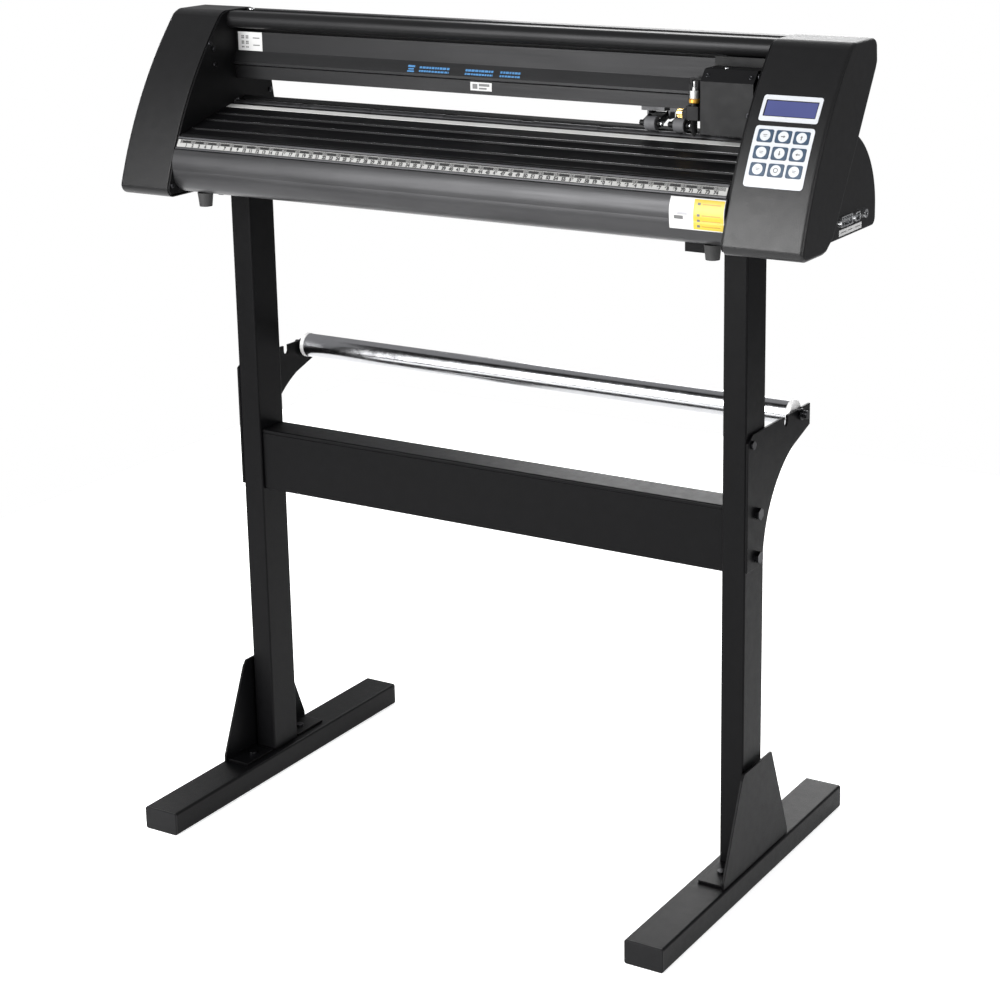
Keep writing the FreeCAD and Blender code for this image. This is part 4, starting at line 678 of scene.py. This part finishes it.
# two more where the cover's front slopes back to its top
for x in (cover_low.x + 0.006, cover_high.x - 0.006):
    lathe(bm, [(0.0, 0.0), (0.0, 0.0010), (0.0005, 0.0012), (0.0008, 0.0024), (0.0003, 0.0029),
               (-0.0006, 0.0029)],
          (x, cover_low.y + 0.006, 0.9770), (0, -13.0, 12.0), SCREW_STEPS)
piece("carriage_cover_screws", bm, DARK_STEEL, "carriage")
bm = bmesh.new()
lathe(bm, [(0.0, 0.0), (0.0, 0.0), (0.0012, 0.0011), (0.0012, 0.0018), (0.0009, 0.0027), (0.0, 0.0031),
           (-0.0005, 0.0031)],
      (cover_low.x + 0.022, cover_low.y + 0.022, cover_high.z), (0, 0, 1), SCREW_STEPS)
piece("carriage_top_screw", bm, ZINC, "carriage")

# ---- screw on top of the beam's left end
beam_low, beam_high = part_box("gantry_beam")
bm = bmesh.new()
lathe(bm, [(-0.0004, 0.0), (-0.0004, 0.0012), (0.0012, 0.0014), (0.0018, 0.0024), (0.0013, 0.0031),
           (-0.0004, 0.0033)],
      (beam_low.x + 0.009, beam_high.y - 0.014, beam_high.z), (0, 0, 1), SCREW_STEPS)
piece("beam_end_screw", bm, ZINC, "frame")

# ---- hook bracket under the front panel
bm = bmesh.new()
hook_x0, hook_x1 = MID_X + 0.3175, MID_X + 0.3425
profile = [(-0.086, 0.8018), (-0.060, 0.8018), (-0.060, 0.8001), (-0.0843, 0.8001), (-0.0843, 0.7905),
           (-0.0860, 0.7905)]
for k in range(len(profile)):
    a, b = profile[k], profile[(k + 1) % len(profile)]
    polygon(bm, [(hook_x0, *a), (hook_x0, *b), (hook_x1, *b), (hook_x1, *a)])
polygon(bm, [(hook_x0, *p) for p in profile])
polygon(bm, [(hook_x1, *p) for p in reversed(profile)])
bmesh.ops.remove_doubles(bm, verts=bm.verts, dist=1e-6)
bmesh.ops.recalc_face_normals(bm, faces=bm.faces)
hook = piece("front_hook_bracket", bm, STAND, "frame")
bevel = hook.modifiers.new("edge", "BEVEL")
bevel.width = 0.0005
bevel.segments = 2

# ---- steel collars on the pinch rollers' axles
for side in ("left", "right"):
    roller_low, roller_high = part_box(side + "_pinch_roller")
    arm_low, arm_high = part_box(side + "_pinch_arm")
    axis_y, axis_z = (roller_low.y + roller_high.y) / 2, (roller_low.z + roller_high.z) / 2
    bm = bmesh.new()
    lathe(bm, [(-0.0030, 0.0), (-0.0030, 0.0030), (-0.0004, 0.0030), (0.0, 0.0026), (0.0, 0.0)],
          (arm_high.x + 0.0008, axis_y, axis_z), (1, 0, 0), SCREW_STEPS)
    lathe(bm, [(0.0, 0.0), (0.0, 0.0018), (0.0005, 0.0022), (0.0016, 0.0022), (0.0016, 0.0)],
          (arm_low.x - 0.0012, axis_y, axis_z), (1, 0, 0), SCREW_STEPS)
    piece(side + "_pinch_axle_ends", bm, ZINC, side + "_pinch_arm")

# ---- screws along the rear wall of the tray
tray_low, tray_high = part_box("base_tray")
bm = bmesh.new()
for x in (-0.34, -0.20, -0.07, 0.07, 0.20, 0.34):
    for z in (tray_low.z + 0.012, tray_low.z + 0.086):
        lathe(bm, [(-0.0004, 0.0), (-0.0004, 0.0012), (0.0012, 0.0016), (0.0018, 0.0024), (0.0012, 0.0032),
                   (0.0, 0.0034)], (MID_X + x, tray_high.y, z), (0, 1, 0), SCREW_STEPS)
piece("tray_rear_screws", bm, DARK_STEEL, "frame")

# ---- port label strip on the right rear housing
port_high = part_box("right_rear_housing")[1]


def on_right(y0, z0):
    """Placement on the right rear housing's outer side: u along Y, v up, w off it."""
    def place(u, v, w):
        return Vector((port_high.x + w, y0 + u, z0 + v))
    return place


strip = on_right(0.010, 0.8022)
bm = bmesh.new()
slab(bm, rect(0, 0.062, 0, 0.0070), strip, *SMALL_STICKER)
for u0, u1 in ((0.004, 0.020), (0.024, 0.036), (0.044, 0.058)):
    slab(bm, rect(u0, u1, 0.0030, 0.0040), strip, *PRINT, 1)
piece("port_label", bm, [LABEL, LABEL_GREY], "frame")
bm = bmesh.new()
for y in (0.0085, 0.0465):
    lathe(bm, [(0.0040, 0.0), (0.0040, 0.0012), (0.0034, 0.0020), (0.0, 0.0024)],
          (port_high.x, y, 0.8182), (1, 0, 0), 6)
piece("port_jack_posts", bm, ZINC, "frame")


# ---------------------------------------------------------------- stage, light, camera

def softbox(name, watts, width, place, target, height):
    """A rectangular area light at place that faces target."""
    light = bpy.data.lights.new(name, "AREA")
    light.energy = watts
    light.shape = "RECTANGLE"
    light.size = width
    light.size_y = height
    obj = bpy.data.objects.new(name, light)
    bpy.context.scene.collection.objects.link(obj)
    obj.location = place
    obj.rotation_mode = "QUATERNION"
    obj.rotation_quaternion = (Vector(target) - Vector(place)).to_track_quat("-Z", "Y")
    obj.visible_camera = False


# half sizes of the floor; a wider one shows white in the machine's sides
FLOOR_X, FLOOR_Y = 1.45, 1.7
floor_mat = Mat("studio_floor", (0.96, 0.96, 0.96), 0.8)
floor_mat.put("Emission Color", (1, 1, 1, 1))
floor_mat.put("Emission Strength", 0.62)
floor_mat.colour(floor_mat.noise(2.0, 2.0), 0.01)
bm = bmesh.new()
polygon(bm, [(-FLOOR_X, -FLOOR_Y, 0), (FLOOR_X, -FLOOR_Y, 0), (FLOOR_X, FLOOR_Y, 0), (-FLOOR_X, FLOOR_Y, 0)])
mesh = bpy.data.meshes.new("studio_floor")
bm.to_mesh(mesh)
bm.free()
floor = bpy.data.objects.new("studio_floor", mesh)
bpy.context.scene.collection.objects.link(floor)
mesh.materials.append(floor_mat.m)
floor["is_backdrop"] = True

# a white backdrop for the camera, and a grey dome, darker near the horizon, for everything else
world = bpy.data.worlds.new("studio")
bpy.context.scene.world = world
world.use_nodes = True
sky = world.node_tree
backdrop = sky.nodes["Background"]
backdrop.inputs["Color"].default_value = (1, 1, 1, 1)
backdrop.inputs["Strength"].default_value = 1.0
dome = sky.nodes.new("ShaderNodeBackground")
direction = sky.nodes.new("ShaderNodeTexCoord")
split = sky.nodes.new("ShaderNodeSeparateXYZ")
sky.links.new(direction.outputs["Generated"], split.inputs["Vector"])
fade = sky.nodes.new("ShaderNodeValToRGB")
horizon, zenith = fade.color_ramp.elements
horizon.color = (0.22, 0.22, 0.225, 1)
zenith.position = 0.85
zenith.color = (0.42, 0.42, 0.43, 1)
fade.color_ramp.elements.new(0.30).color = (0.34, 0.34, 0.35, 1)
sky.links.new(split.outputs["Z"], fade.inputs["Fac"])
sky.links.new(fade.outputs["Color"], dome.inputs["Color"])
rays = sky.nodes.new("ShaderNodeLightPath")
mix = sky.nodes.new("ShaderNodeMixShader")
sky.links.new(rays.outputs["Is Camera Ray"], mix.inputs["Fac"])
sky.links.new(dome.outputs["Background"], mix.inputs[1])
sky.links.new(backdrop.outputs["Background"], mix.inputs[2])
sky.links.new(mix.outputs["Shader"], sky.nodes["World Output"].inputs["Surface"])

softbox("front_softbox", 150.0, 1.5, (-1.05, -2.7, 1.45), (0.1, -0.1, 0.85), 2.4)
softbox("back_softbox", 29.0, 1.9, (-0.65, 2.7, 1.75), (0.1, 0, 0.85), 1.7)
softbox("right_fill", 60.0, 1.6, (3.0, -1.2, 1.0), (0, 0, 0.7), 2.0)
softbox("left_fill", 60.0, 1.6, (-3.0, 1.2, 1.0), (0, 0, 0.7), 2.0)
softbox("low_back_fill", 36.0, 1.5, (-1.0, 3.2, 0.55), (0, 0, 0.6), 1.1)

camera_data = bpy.data.cameras.new("photo_camera")
camera = bpy.data.objects.new("photo_camera", camera_data)
bpy.context.scene.collection.objects.link(camera)
bpy.context.scene.camera = camera
# the camera stands to the right of the machine, turned left by yaw and down by pitch
yaw, pitch, roll = math.radians(30.744), math.radians(14.918), math.radians(-0.69)
forward = Vector((-math.sin(yaw) * math.cos(pitch), math.cos(yaw) * math.cos(pitch), -math.sin(pitch)))
right = Vector((math.cos(yaw), math.sin(yaw), 0))
up = right.cross(forward)
right_rolled = right * math.cos(roll) + up * math.sin(roll)
up_rolled = up * math.cos(roll) - right * math.sin(roll)
turn = Matrix((right_rolled, up_rolled, -forward)).transposed().to_4x4()
turn.translation = Vector((1.4369, -2.2548, 1.2959))
camera.matrix_world = turn
camera_data.sensor_width = 36.0
camera_data.lens = 81.441
camera_data.shift_x = -0.06
camera_data.shift_y = -0.12
camera_data.clip_start = 0.05
camera_data.clip_end = 60.0

scene = bpy.context.scene
scene.view_settings.view_transform = "Standard"
scene.view_settings.look = "None"

low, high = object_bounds()
